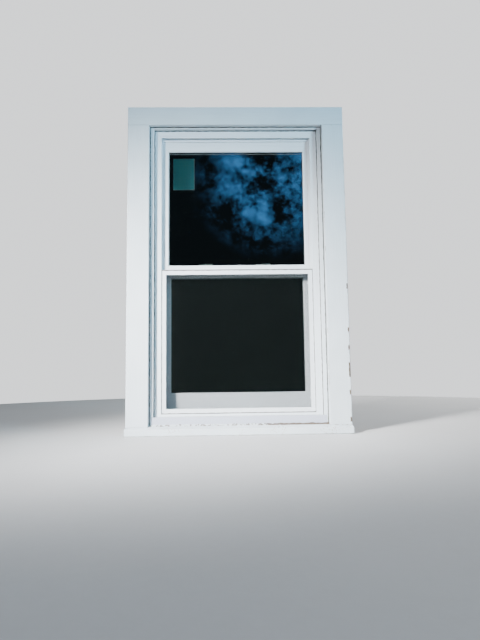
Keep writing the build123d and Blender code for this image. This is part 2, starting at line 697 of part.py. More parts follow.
def make_keeper(x):
    """Keeper on the upper sash's meeting rail: a channel that the cam's nose turns into."""
    back = UPPER_FRONT + GLASS_BACK + LATCH_FIT
    front = UPPER_FRONT + SASH_THICKNESS - LATCH_FIT
    z = UPPER_SASH_BOTTOM + UPPER_MEETING_RAIL
    top = z + KEEPER_HEIGHT
    outline = (
        (back, z), (front, z), (front, z + KEEPER_WALL), (back + KEEPER_WALL, z + KEEPER_WALL),
        (back + KEEPER_WALL, top - KEEPER_WALL), (front, top - KEEPER_WALL), (front, top), (back, top),
    )
    return along_x(outline, x - KEEPER_LENGTH / 2, x + KEEPER_LENGTH / 2)


# Screen
def make_screen():
    """Half screen: four mitred bars, the mesh, and the spline that holds the mesh in its groove."""
    half = FRAME_HALF - POCKET_FLOOR - SCREEN_SIDE_GAP
    y0 = SCREEN_FRONT + (SCREEN_TRACK - SCREEN_DEPTH) / 2
    z0 = SILL_SHELF + REST_GAP
    depth = SCREEN_DEPTH
    groove0 = SPLINE_INSET
    groove1 = groove0 + SPLINE_GROOVE
    floor = depth - SPLINE_DEPTH
    profile = [
        (0, 0), (SCREEN_BAR, 0), (SCREEN_BAR, depth), (groove1, depth), (groove1, floor), (groove0, floor),
        (groove0, depth), (0, depth),
    ]
    wall = SCREEN_WALL
    chamber = [
        (wall, wall), (groove0 - wall, wall), (groove0 - wall, depth - wall), (wall, depth - wall),
    ]
    frame = (-half, half, z0, SCREEN_TOP, y0, SCREEN_BAR)
    bars = [mitred(profile, side, *frame, holes=[chamber]) for side in ("left", "right", "bottom", "top")]
    mesh_back = y0 + depth
    middle = (groove0 + groove1) / 2
    mesh = block(-half + middle, half - middle, mesh_back, mesh_back + MESH_THICKNESS, z0 + middle,
                 SCREEN_TOP - middle)
    outer = block(-half + groove0, half - groove0, y0 + floor, mesh_back, z0 + groove0, SCREEN_TOP - groove0)
    spline = outer - block(-half + groove1, half - groove1, 0, BIG, z0 + groove1, SCREEN_TOP - groove1)
    return bars, mesh, spline


def plunger_parts(z):
    """Right-hand screen plunger and the hole it slides in through the screen bar."""
    half = FRAME_HALF - POCKET_FLOOR - SCREEN_SIDE_GAP
    y = SCREEN_FRONT + (SCREEN_TRACK - SCREEN_DEPTH) / 2 + (SCREEN_DEPTH - SPLINE_DEPTH) / 2
    inner = half - SCREEN_BAR
    pin = rod_x(PLUNGER_RADIUS, inner - PLUNGER_TRAVEL, half + PLUNGER_PROUD, y, z)
    knob_end = inner - REST_GAP
    knob = rod_x(PLUNGER_KNOB_RADIUS, knob_end - PLUNGER_KNOB_LENGTH, knob_end, y, z)
    hole = rod_x(PLUNGER_RADIUS + PLUNGER_FIT, inner - PLUNGER_TRAVEL, half + BIG / 2, y, z)
    return pin + knob, hole


def sash(prefix, stile, top_rail, bottom_rail, y0, z0, z1):
    """Nodes that both sashes have, as a dictionary."""
    right = make_stile(stile, y0, z0, z1)
    left = mirrored(right)
    low = z0 + bottom_rail
    high = z1 - top_rail
    outer, inner, spacer = make_glass(stile, y0, low, high)
    return {
        prefix + "stile_left": left,
        prefix + "stile_right": right,
        prefix + "bottom_rail": make_rail(bottom_rail, stile, y0, z0, 1),
        prefix + "top_rail": make_rail(top_rail, stile, y0, z1, -1),
        prefix + "outer_pane": outer,
        prefix + "inner_pane": inner,
        prefix + "spacer": spacer,
        prefix + "glazing_beads": make_beads(stile, y0, low, high),
    }


def hooked(rail, face, web, leg_y, leg_z0, leg_z1):
    """A meeting rail with its interlocking hook: a web from the rail's face and an upright leg."""
    near = min(face, leg_y)
    far = max(face, leg_y + HOOK_THICKNESS)
    hook = block(-HOOK_HALF, HOOK_HALF, near, far, web, web + HOOK_THICKNESS)
    hook += block(-HOOK_HALF, HOOK_HALF, leg_y, leg_y + HOOK_THICKNESS, leg_z0, leg_z1)
    return rail + hook


def build():
    """Every node of the window by name."""
    parts = {}
    casing = make_side_casing()
    blind_stop = make_side_blind_stop()
    jamb = make_side_jamb()
    parts["wood_sill"] = SILL
    parts["casing_left"], parts["casing_right"] = mirrored(casing), casing
    parts["casing_head"] = make_head_casing()
    parts["blind_stop_left"], parts["blind_stop_right"] = mirrored(blind_stop), blind_stop
    parts["blind_stop_head"] = block(-JAMB_OUTSIDE, JAMB_OUTSIDE, 0, FRAME_FRONT, HEAD_STOP_BOTTOM, HEAD_JAMB_TOP)
    parts["wood_head_jamb"] = block(-JAMB_OUTSIDE, JAMB_OUTSIDE, FRAME_FRONT, JAMB_BACK, HEAD_JAMB_BOTTOM,
                                    HEAD_JAMB_TOP)
    parts["inner_stops"] = make_inner_stops()

    screws = make_screws()
    frame_left = make_frame_side("left")
    frame_right = make_frame_side("right")
    parts["frame_head"] = make_frame_side("top")
    parts["frame_sill"] = make_frame_sill((frame_left, frame_right))
    parts["sill_angle"] = make_sill_angle()
    parts["caulk"] = make_caulk()
    tubes = both(make_tube(OUTER_TRACK)) + both(make_tube(INNER_TRACK))
    shims = make_shims()
    drilled = {
        "wood_jamb_left": [mirrored(jamb)], "wood_jamb_right": [jamb], "frame_jamb_left": [frame_left],
        "frame_jamb_right": [frame_right], "balance_tubes": tubes, "shims": shims,
    }
    for name, pieces in drilled.items():
        for index, piece in enumerate(pieces):
            for screw in screws:
                piece -= screw
            pieces[index] = piece
        parts[name] = solids_of(pieces)
    parts["jamb_screws"] = solids_of(screws)

    lower = sash("lower_", LOWER_STILE, LOWER_MEETING_RAIL, BOTTOM_RAIL, LOWER_FRONT, LOWER_SASH_BOTTOM,
                 LOWER_SASH_TOP)
    upper = sash("upper_", UPPER_STILE, TOP_RAIL, UPPER_MEETING_RAIL, UPPER_FRONT, UPPER_SASH_BOTTOM,
                 UPPER_SASH_TOP)

    gap_start = UPPER_FRONT + SASH_THICKNESS
    upper_web = UPPER_SASH_BOTTOM + HOOK_STAND
    lower_leg_y = gap_start + HOOK_GAP
    upper_leg_y = lower_leg_y + HOOK_THICKNESS + HOOK_GAP
    upper["upper_bottom_rail"] = hooked(upper["upper_bottom_rail"], gap_start, upper_web, upper_leg_y,
                                        upper_web, upper_web + HOOK_HEIGHT)
    lower_foot = upper_web + HOOK_THICKNESS + HOOK_GAP
    lower_web = upper_web + HOOK_HEIGHT + HOOK_GAP
    lower["lower_top_rail"] = hooked(lower["lower_top_rail"], LOWER_FRONT, lower_web, lower_leg_y,
                                     lower_foot, lower_web + HOOK_THICKNESS)
    lift_y = LOWER_FRONT + SASH_THICKNESS
    lift_z = LOWER_SASH_BOTTOM + LIFT_HEIGHT
    lift_half = SASH_HALF - LOWER_STILE
    lift = block(-lift_half, lift_half, lift_y, lift_y + LIFT_REACH, lift_z, lift_z + LIFT_THICKNESS)
    lift += block(-lift_half, lift_half, lift_y + LIFT_REACH - LIFT_THICKNESS, lift_y + LIFT_REACH,
                  lift_z - LIFT_LIP, lift_z)
    lower["lower_bottom_rail"] += lift

    for nodes, prefix, track, bottom, rod_top in (
        (lower, "lower_", INNER_TRACK, LOWER_SASH_BOTTOM, LOWER_ROD_TOP),
        (upper, "upper_", OUTER_TRACK, UPPER_SASH_BOTTOM, UPPER_ROD_TOP),
    ):
        pivot_y = track + TRACK_WIDTH / 2 + PIVOT_OFFSET
        pivot_z = bottom + PIVOT_HEIGHT
        bars = both(make_pivot_bar(pivot_y, pivot_z))
        for bar in bars:
            for name in ("stile_left", "stile_right", "bottom_rail"):
                nodes[prefix + name] -= bar
        nodes[prefix + "pivot_bars"] = solids_of(bars)
        nodes[prefix + "shoes"] = solids_of(both(make_shoe(track, pivot_z)))
        nodes[prefix + "spiral_rods"] = solids_of(both(make_rod(track, pivot_z + SHOE_ABOVE, rod_top)))

    lower_latch = latch_parts(INNER_TRACK, LOWER_SASH_TOP - LATCH_COVER - LATCH_HEIGHT, LOWER_SASH_TOP, "top")
    room_face = UPPER_FRONT + SASH_THICKNESS
    upper_latch = latch_parts(OUTER_TRACK, UPPER_SASH_TOP - LATCH_COVER - LATCH_HEIGHT, room_face, "room")
    for nodes, prefix, (bolt, pocket) in ((lower, "lower_", lower_latch), (upper, "upper_", upper_latch)):
        for cut in both(pocket):
            for name in ("stile_left", "stile_right", "top_rail"):
                nodes[prefix + name] -= cut
        nodes[prefix + "latch_right"] = bolt
        nodes[prefix + "latch_left"] = mirrored(bolt)

    bulb_y = LOWER_FRONT + SASH_THICKNESS / 2
    bulb = block(-SASH_HALF, SASH_HALF, bulb_y - BULB_WIDTH, bulb_y, INNER_BED + REST_GAP, LOWER_SASH_BOTTOM)
    lower["lower_seals"] = solids_of(bulb, make_side_seals(LOWER_FRONT, LOWER_SASH_BOTTOM, LOWER_SASH_TOP))
    upper["upper_seals"] = solids_of(make_side_seals(UPPER_FRONT, UPPER_SASH_BOTTOM, UPPER_SASH_TOP))

    lock_x = LOCK_SPACING / 2
    lower["lock_bases"] = solids_of(make_lock_base(-lock_x), make_lock_base(lock_x))
    lower["lock_lever_left"] = make_lock_lever(-lock_x)
    lower["lock_lever_right"] = make_lock_lever(lock_x)
    upper["keepers"] = solids_of(make_keeper(-lock_x), make_keeper(lock_x))
    glass_face = UPPER_FRONT + GLASS_BACK
    sticker_x = UPPER_STILE - SASH_HALF + STICKER_INSET
    sticker_z = UPPER_SASH_TOP - TOP_RAIL - STICKER_DROP
    upper["sticker"] = block(sticker_x, sticker_x + STICKER[0], glass_face, glass_face + STICKER_THICKNESS,
                             sticker_z - STICKER[1], sticker_z)

    bars, mesh, spline = make_screen()
    bottom = SILL_SHELF + REST_GAP
    plunger_heights = (bottom + PLUNGER_FROM_END, SCREEN_TOP - PLUNGER_FROM_END)
    for place, z in zip(("lower", "upper"), plunger_heights):
        plunger, hole = plunger_parts(z)
        bars = [bar - hole for bar in bars]
        parts["screen_plunger_" + place] = plunger
    parts["screen_frame"] = solids_of(bars)
    parts["screen_mesh"] = mesh
    parts["screen_spline"] = spline
    parts.update(lower)
    parts.update(upper)
    return parts


os.makedirs("parts", exist_ok=True)
for node, shape in build().items():
    export_step(shape, "parts/" + node + ".step")
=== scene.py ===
"""Sash window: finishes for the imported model, its mesh, caulk, seals, rods and screws, and a plain studio.

Everything is in metres. X runs along the wall, +Y into the room, +Z up."""

import bmesh
import bpy
import numpy as np
from mathutils import Matrix, Vector


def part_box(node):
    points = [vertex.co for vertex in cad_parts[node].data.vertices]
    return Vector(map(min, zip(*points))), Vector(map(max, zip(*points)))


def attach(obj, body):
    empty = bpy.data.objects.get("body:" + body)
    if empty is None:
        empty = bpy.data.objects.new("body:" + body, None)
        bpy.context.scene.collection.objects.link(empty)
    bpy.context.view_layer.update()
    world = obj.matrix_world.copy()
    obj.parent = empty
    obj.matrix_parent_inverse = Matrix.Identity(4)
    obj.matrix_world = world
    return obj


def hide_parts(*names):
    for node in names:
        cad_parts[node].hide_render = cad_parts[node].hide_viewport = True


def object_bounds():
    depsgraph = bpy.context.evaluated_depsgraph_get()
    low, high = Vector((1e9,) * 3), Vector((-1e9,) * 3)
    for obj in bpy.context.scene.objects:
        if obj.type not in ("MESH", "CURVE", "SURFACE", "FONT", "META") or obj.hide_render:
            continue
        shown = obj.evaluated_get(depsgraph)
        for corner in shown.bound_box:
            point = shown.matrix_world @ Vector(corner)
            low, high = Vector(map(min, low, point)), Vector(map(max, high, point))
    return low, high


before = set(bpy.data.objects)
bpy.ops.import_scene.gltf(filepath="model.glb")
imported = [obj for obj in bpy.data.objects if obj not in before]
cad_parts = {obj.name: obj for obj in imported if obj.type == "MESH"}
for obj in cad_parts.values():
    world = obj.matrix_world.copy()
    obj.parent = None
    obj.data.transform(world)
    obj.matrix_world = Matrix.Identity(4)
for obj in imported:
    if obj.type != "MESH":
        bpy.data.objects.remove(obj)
CAD_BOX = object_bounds()

bl_info = {
    "name": "Sash Window",
    "version": (1, 0, 0),
    "blender": (4, 5, 0),
    "location": "3D View > Sidebar > Sash Window",
    "description": "Dresses a sash window and sets it in a plain studio",
    "category": "Object",
}

MM = 0.001
SKIN = 0.3 * MM  # how far a mask reaches past a face
SEED = 7


# Settings
def colour(name, description, default):
    """Setting that holds a colour."""
    return bpy.props.FloatVectorProperty(
        name=name, description=description, default=default, size=3, min=0, max=1, subtype="COLOR")


def length(name, description, default):
    """Setting that holds a length of up to a metre."""
    return bpy.props.FloatProperty(
        name=name, description=description, default=default, min=0, max=1, precision=5, subtype="DISTANCE",
        unit="LENGTH")


def factor(name, description, default, high=1.0):
    """Setting that holds a share or a strength."""
    return bpy.props.FloatProperty(
        name=name, description=description, default=default, min=0, max=high, subtype="FACTOR")


def power(name, description, default):
    """Setting that holds a lamp's power."""
    return bpy.props.FloatProperty(
        name=name, description=description, default=default, min=0, max=5000, unit="POWER")


class WINDOW_PG_finish(bpy.types.PropertyGroup):
    """Colours and wear of the window's own surfaces."""
    # This colour is white cooled and darkened toward the blue of shade: a painted shade tint over the wood
    # surround.
    paint: colour("Paint", "House paint on the wood surround", (0.70, 0.78, 0.83))
    bare_wood: colour("Bare wood", "Weathered wood where the paint has gone", (0.22, 0.17, 0.13))
    raw_wood: colour("Raw wood", "Pine on the sides that face the wall", (0.56, 0.37, 0.20))
    # This colour stands for dirt and painted shade. It darkens corners, grooves and shadow lines, and it also
    # marks the welded seams.
    grime_and_shade: colour("Grime and shade", "Dirt in corners", (0.20, 0.19, 0.17))
    # This colour is white cooled and darkened toward the blue of shade: a painted shade tint over the frame
    # and sashes.
    shade_cooled_vinyl: colour("Vinyl", "White extruded vinyl", (0.78, 0.85, 0.90))
    # A darker, bluer grey than the frame's own vinyl.
    darker_strip_vinyl: colour("Darker strip vinyl", "The strip over the joint at the sill", (0.48, 0.52, 0.62))
    enamel: colour("Enamel", "White enamel on locks and screen bars", (0.80, 0.85, 0.89))
    glass: colour("Glass", "Tint of each pane", (0.74, 0.80, 0.79))
    sticker: colour("Sticker", "Face of the blank sticker", (0.28, 0.88, 0.96))
    wear: factor("Wear", "How far the paint has chipped along its edges", 0.45)


class WINDOW_PG_mesh(bpy.types.PropertyGroup):
    """The insect mesh's weave."""
    pitch: length("Pitch", "Distance between threads, both ways", 1.27 * MM)
    thread: length("Thread", "Width of one coated thread", 0.20 * MM)
    wander: length("Wander", "How far a thread strays from its line", 0.06 * MM)
    thread_colour: colour("Thread colour", "Charcoal coating", (0.006, 0.010, 0.009))


class WINDOW_PG_caulk(bpy.types.PropertyGroup):
    """The bead of caulk round the vinyl frame."""
    size: length("Size", "Widest leg of the bead round the frame", 4.2 * MM)
    foot: length("Foot", "Widest leg of the bead under the sill angle", 8.0 * MM)
    unevenness: factor("Unevenness", "How much the bead narrows along its length", 0.45)


class WINDOW_PG_stage(bpy.types.PropertyGroup):
    """Camera, lights and floor."""
    camera: bpy.props.FloatVectorProperty(
        name="Camera", description="Place of the lens", default=(-0.0371, -2.0235, 0.264), subtype="XYZ",
        unit="LENGTH")
    turn: bpy.props.FloatVectorProperty(
        name="Turn", description="Pitch, yaw and roll of the camera",
        default=(np.radians(5.43), np.radians(-1.28), np.radians(-0.73)), subtype="EULER", unit="ROTATION")
    lens: bpy.props.FloatProperty(
        name="Lens", description="Focal length on a 36 mm sensor", default=28.125, unit="CAMERA")
    key: power("Key light", "Soft light at the upper left", 29.0)
    fill: power("Fill light", "Cool soft light at the upper right", 12.0)
    overhead: power("Overhead light", "Wide soft light above the floor", 40.0)
    back: power("Room light", "Soft light on the room side", 230.0)
    sky: power("Sky light", "Cool light that shows in the upper glass", 62.0)
    surround: factor("Surround", "Light from all round", 0.10, 3.0)


# Geometry
def solids(node):
    """Boxes of a CAD node's solids, each as (lowest corner, highest corner), from left to right."""
    touching, decimals = MM / 1000, 4
    mesh = bmesh.new()
    mesh.from_mesh(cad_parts[node].data)
    bmesh.ops.remove_doubles(mesh, verts=mesh.verts, dist=touching)
    waiting = set(mesh.verts)
    boxes = []
    while waiting:
        edge = [waiting.pop()]
        island = []
        while edge:
            corner = edge.pop()
            island.append(corner.co[:])
            near = {side.other_vert(corner) for side in corner.link_edges} & waiting
            waiting -= near
            edge += near
        island = np.array(island)
        boxes.append((island.min(axis=0), island.max(axis=0)))
    mesh.free()
    return sorted(boxes, key=lambda box: tuple(np.round(box[0], decimals)))


def round_turn(steps):
    """Angles once round a circle, in even steps."""
    return 2 * np.pi * np.arange(steps) / steps


def wandering(count, rng, waves):
    """Smooth uneven line of count values between -1 and 1: a sum of a few sines with chance phases."""
    slowest, quickest = 1.5, count / 6
    along = np.linspace(0, 1, count)
    cycles = rng.uniform(slowest, quickest, waves)
    line = sum(np.sin(2 * np.pi * (c * along + rng.random())) for c in cycles)
    return line / np.abs(line).max()


def sweep(rings):
    """Closed skin over rings of points, shaped (ring, corner, 3), with a flat face at each end.
    Point number is ring * corners + corner; each quad joins two corners on two rings."""
    count, corners = rings.shape[:2]
    ring, corner = np.meshgrid(np.arange(count - 1), np.arange(corners), indexing="ij")
    following = (corner + 1) % corners
    quads = np.stack([
        ring * corners + corner, ring * corners + following, (ring + 1) * corners + following,
        (ring + 1) * corners + corner], axis=-1).reshape(-1, 4)
    ends = [list(range(corners))[::-1], list(range((count - 1) * corners, count * corners))]
    return rings.reshape(-1, 3), quads.tolist() + ends


def joined(skins):
    """Several skins as one list of points and one list of faces."""
    points, faces, start = [], [], 0
    for skin_points, skin_faces in skins:
        points.append(skin_points)
        faces += [[start + corner for corner in face] for face in skin_faces]
        start += len(skin_points)
    return np.concatenate(points), faces


def linked(name, data):
    """New object in the scene."""
    made = bpy.data.objects.new(name, data)
    bpy.context.scene.collection.objects.link(made)
    return made


def piece(name, skins, body, nodes, material, smooth=False):
    """New object from skins, in place, riding on a body and standing for the CAD nodes."""
    points, faces = joined(skins)
    mesh = bpy.data.meshes.new(name)
    mesh.from_pydata(points.tolist(), [], faces)
    shell = bmesh.new()
    shell.from_mesh(mesh)
    bmesh.ops.recalc_face_normals(shell, faces=shell.faces)
    shell.to_mesh(mesh)
    shell.free()
    mesh.polygons.foreach_set("use_smooth", np.full(len(mesh.polygons), smooth))
    mesh.update()
    mesh.materials.append(material)
    made = linked(name, mesh)
    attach(made, body)
    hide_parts(*nodes)
    return made


def dress(material, *nodes):
    """CAD nodes take a material."""
    for name in nodes:
        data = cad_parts[name].data
        data.materials.clear()
        data.materials.append(material)


# Shader building
def node(tree, kind, inputs=None, **settings):
    """Adds a node. inputs maps a socket's name or number to a value or to the socket that feeds it."""
    made = tree.nodes.new("ShaderNode" + kind)
    for key, value in settings.items():
        setattr(made, key, value)
    for key, value in (inputs or {}).items():
        if isinstance(value, bpy.types.NodeSocket):
            tree.links.new(value, made.inputs[key])
        else:
            made.inputs[key].default_value = value
    return made


def spaced(words):
    """Keywords with a space for each _."""
    return {key.replace("_", " "): value for key, value in words.items()}


def here(tree):
    """Object coordinates."""
    return node(tree, "TexCoord").outputs["Object"]


def axes(tree, coordinates):
    """X, Y and Z of coordinates."""
    return node(tree, "SeparateXYZ", {0: coordinates}).outputs


def maths(tree, operation, *values, clamp=False):
    """Result of a Math node."""
    return node(tree, "Math", dict(enumerate(values)), operation=operation, use_clamp=clamp).outputs[0]


def remap(tree, value, low, high, start=0.0, end=1.0, bend="SMOOTHSTEP"):
    """value from low to high becomes start to end, along an S, or straight if bend is LINEAR."""
    ends = {0: value, 1: low, 2: high, 3: start, 4: end}
    return node(tree, "MapRange", ends, interpolation_type=bend).outputs[0]


def blend(tree, mask, first, second):
    """Mix of two colours by a mask."""
    return node(tree, "Mix", {0: mask, 6: first, 7: second}, data_type="RGBA").outputs[2]


def scaled(tree, coordinates, stretch):
    """Coordinates times a vector."""
    return node(tree, "VectorMath", {0: coordinates, 1: stretch}, operation="MULTIPLY").outputs[0]


def noise(tree, coordinates, scale=1.0, detail=3.0, roughness=0.5):
    """Noise value."""
    inputs = {"Vector": coordinates, "Scale": scale, "Detail": detail, "Roughness": roughness}
    return node(tree, "TexNoise", inputs).outputs["Fac"]


def group(name, inputs, outputs, build):
    """Shader node group, built once. inputs maps names to defaults, outputs is a list of names, and
    build(tree, inputs) returns {output name: socket}."""
    if name in bpy.data.node_groups:
        return bpy.data.node_groups[name]
    tree = bpy.data.node_groups.new(name, "ShaderNodeTree")
    for label, default in inputs.items():
        kind = "NodeSocketFloat" if isinstance(default, float) else "NodeSocketVector"
        tree.interface.new_socket(label, in_out="INPUT", socket_type=kind).default_value = default
    for label in outputs:
        tree.interface.new_socket(label, in_out="OUTPUT", socket_type="NodeSocketFloat")
    enter = tree.nodes.new("NodeGroupInput")
    leave = tree.nodes.new("NodeGroupOutput")
    for label, socket in build(tree, enter.outputs).items():
        tree.links.new(socket, leave.inputs[label])
    return tree


def place(tree, made, **inputs):
    """Puts a node group in a tree, with _ for a space in its inputs."""
    return node(tree, "Group", spaced(inputs), node_tree=made).outputs


def brush_marks():
    """Marks left by a brush or a drawing die: fine noise drawn out along the piece, over slow waves.
    Stretch is the noise's scale along each axis, so the smallest number is the way that the marks run."""
    def build(tree, given):
        at = here(tree)
        fine_part, slow_part = 0.45, 0.55
        fine = noise(tree, scaled(tree, at, given["Stretch"]), detail=4.0, roughness=0.6)
        slow = noise(tree, at, scale=7.0, detail=2.0)
        height = maths(tree, "MULTIPLY_ADD", fine, fine_part, maths(tree, "MULTIPLY", slow, slow_part))
        tone = remap(tree, maths(tree, "ADD", fine, slow), 0.75, 1.25)
        rough = remap(tree, fine, 0.3, 0.7, given["Smoothest"], given["Roughest"], "LINEAR")
        return {"Height": height, "Tone": tone, "Roughness": rough}
    given = {"Stretch": (60.0, 60.0, 60.0), "Smoothest": 0.3, "Roughest": 0.5}
    return group("Brush marks", given, ("Height", "Tone", "Roughness"), build)


def edge_chips():
    """Mask of chips along outer edges: where the rounded normal leaves the flat one, broken up by noise."""
    def build(tree, given):
        at = here(tree)
        rounded = node(tree, "Bevel", {"Radius": given["Reach"]}, samples=6).outputs[0]
        flat = node(tree, "NewGeometry").outputs["True Normal"]
        facing = node(tree, "VectorMath", {0: rounded, 1: flat}, operation="DOT_PRODUCT").outputs["Value"]
        on_face, on_edge = 0.995, 0.93
        edge = remap(tree, facing, on_face, on_edge)
        broken = noise(tree, scaled(tree, at, given["Stretch"]), detail=5.0, roughness=0.65)
        limit = maths(tree, "MULTIPLY_ADD", given["Amount"], -0.35, 0.80)
        chip = remap(tree, maths(tree, "SUBTRACT", broken, limit), 0.0, 0.03)
        return {"Mask": maths(tree, "MULTIPLY", edge, chip)}
    given = {"Reach": 0.002, "Stretch": (90.0, 90.0, 90.0), "Amount": 0.5}
    return group("Edge chips", given, ("Mask",), build)


def corner_dirt_and_shade():
    """Mask of painted shade and soiling in corners and grooves: darker where little sky reaches, made patchy
    by noise.
    """
    def build(tree, given):
        at = here(tree)
        # Painted shade: the less sky a point sees, the darker its colour.
        shelter = node(tree, "AmbientOcclusion", {"Distance": given["Reach"]}, samples=8).outputs["AO"]
        open_air, sheltered = 0.85, 0.30
        deep = remap(tree, shelter, open_air, sheltered)
        patchy = noise(tree, at, scale=given["Scale"], detail=4.0, roughness=0.6)
        amount = maths(tree, "MULTIPLY", remap(tree, patchy, 0.35, 0.65, 0.35, 1.0), given["Amount"])
        return {"Mask": maths(tree, "MULTIPLY", deep, amount, clamp=True)}
    return group("Corner dirt", {"Reach": 0.008, "Scale": 30.0, "Amount": 0.5}, ("Mask",), build)


def specks():
    """Mask of small round specks: cells near their centre, where a slow noise lets them gather."""
    def build(tree, given):
        at = here(tree)
        cell = node(tree, "TexVoronoi", {"Vector": at, "Scale": given["Scale"]}).outputs["Distance"]
        gather = noise(tree, at, scale=given["Gather"], detail=2.0)
        size = remap(tree, gather, 0.45, 0.7, 0.0, given["Size"], "LINEAR")
        return {"Mask": remap(tree, maths(tree, "SUBTRACT", size, cell), 0.0, 0.08)}
    return group("Specks", {"Scale": 250.0, "Gather": 12.0, "Size": 0.4}, ("Mask",), build)


def corner_seams():
    """Mask of the seams where the bars of a rectangular frame meet at 45 degrees: there the distances to
    the frame's side and to its top or bottom edge are the same."""
    def build(tree, given):
        parts = axes(tree, here(tree))
        side = maths(tree, "SUBTRACT", given["Half width"], maths(tree, "ABSOLUTE", parts["X"]))
        masks = []
        for below, above in ((parts["Z"], given["Top"]), (given["Bottom"], parts["Z"])):
            gap = maths(tree, "SUBTRACT", side, maths(tree, "SUBTRACT", above, below))
            masks.append(maths(tree, "LESS_THAN", maths(tree, "ABSOLUTE", gap), given["Line"]))
        return {"Mask": maths(tree, "MAXIMUM", *masks)}
    given = {"Half width": 0.3, "Bottom": 0.0, "Top": 1.0, "Line": 0.0004}
    return group("Corner seams", given, ("Mask",), build)


def unpainted():
    """Mask of the sides that face the wall: the jambs' outer sides, the head's top and the casings' backs."""
    def build(tree, given):
        parts = axes(tree, here(tree))

        def past(half, top):
            """1 beyond a half width or above a top, each named by its input."""
            beside = maths(tree, "GREATER_THAN", maths(tree, "ABSOLUTE", parts["X"]), given[half])
            return maths(tree, "MAXIMUM", beside, maths(tree, "GREATER_THAN", parts["Z"], given[top]))

        behind = maths(tree, "GREATER_THAN", parts["Y"], given["Skin"])
        wall_face = maths(tree, "LESS_THAN", maths(tree, "ABSOLUTE", parts["Y"]), given["Skin"])
        outer = maths(tree, "MULTIPLY", behind, past("Jamb half", "Jamb top"))
        back = maths(tree, "MULTIPLY", wall_face, past("Opening half", "Opening top"))
        return {"Mask": maths(tree, "MAXIMUM", outer, back)}
    given = {"Jamb half": 0.3, "Jamb top": 1.0, "Opening half": 0.3, "Opening top": 1.0, "Skin": SKIN}
    return group("Unpainted", given, ("Mask",), build)


def flaked_edge():
    """Mask of long flakes along one upright arris: strips beside it whose length comes from a noise of Z."""
    def build(tree, given):
        at = here(tree)
        parts = axes(tree, at)
        level = node(tree, "CombineXYZ", {2: parts["Z"]}).outputs[0]
        flakes = remap(tree, noise(tree, level, scale=given["Scale"], detail=0.0), 0.54, 0.56)
        away = maths(tree, "SUBTRACT", given["Edge"], parts["X"])
        ragged = maths(tree, "MULTIPLY_ADD", noise(tree, at, scale=120.0), given["Reach"], away)
        beside = maths(tree, "LESS_THAN", ragged, maths(tree, "MULTIPLY", given["Reach"], 1.5))
        deep = maths(tree, "SUBTRACT", parts["Y"], given["Front"])
        forward = maths(tree, "LESS_THAN", deep, given["Reach"])
        low = maths(tree, "LESS_THAN", parts["Z"], given["Top"])
        near = maths(tree, "MULTIPLY", maths(tree, "MULTIPLY", beside, forward), low)
        return {"Mask": maths(tree, "MULTIPLY", flakes, near)}
    given = {"Edge": 0.4, "Front": 0.0, "Reach": 0.007, "Scale": 14.0, "Top": 0.6}
    return group("Flaked edge", given, ("Mask",), build)


def rim_shadow_line():
    """Mask of a painted shadow line round the outer rim of a rectangular frame, as if it sat in a dark gap
    behind a lip.
    """
    def build(tree, given):
        at = here(tree)
        parts = axes(tree, at)
        side = maths(tree, "SUBTRACT", given["Half width"], maths(tree, "ABSOLUTE", parts["X"]))
        foot = maths(tree, "SUBTRACT", parts["Z"], given["Bottom"])
        head = maths(tree, "SUBTRACT", given["Top"], parts["Z"])
        away = maths(tree, "MINIMUM", side, maths(tree, "MINIMUM", foot, head))
        ragged = maths(tree, "MULTIPLY_ADD", noise(tree, at, scale=60.0), given["Reach"], away)
        line = maths(tree, "DIVIDE", ragged, given["Reach"])
        return {"Mask": remap(tree, line, 1.5, 1.2)}
    given = {"Half width": 0.3, "Bottom": 0.0, "Top": 1.0, "Reach": 0.005}
    return group("Rim dirt", given, ("Mask",), build)


# Finishes
def rgba(tint, shade=1.0):
    """Four numbers of a colour, its light scaled by shade."""
    return (*(part * shade for part in tint), 1.0)


def surface(name, **sockets):
    """New material and its shader. sockets set the shader's constants, with _ for a space."""
    made = bpy.data.materials.new(name)
    made.use_nodes = True
    shader = made.node_tree.nodes["Principled BSDF"]
    for key, value in spaced(sockets).items():
        shader.inputs[key].default_value = value
    return made, made.node_tree, shader


def feed(tree, made, **sockets):
    """Links sockets to a node's inputs, with _ for a space."""
    for key, socket in spaced(sockets).items():
        tree.links.new(socket, made.inputs[key])


def raised(tree, shader, height, depth, rounding=0.0):
    """Bump of a height map, depth metres high, on edges rounded to a radius."""
    inputs = {"Height": height, "Distance": depth, "Strength": 1.0}
    if rounding:
        inputs["Normal"] = node(tree, "Bevel", {"Radius": rounding}, samples=6).outputs[0]
    feed(tree, shader, Normal=node(tree, "Bump", inputs).outputs[0])


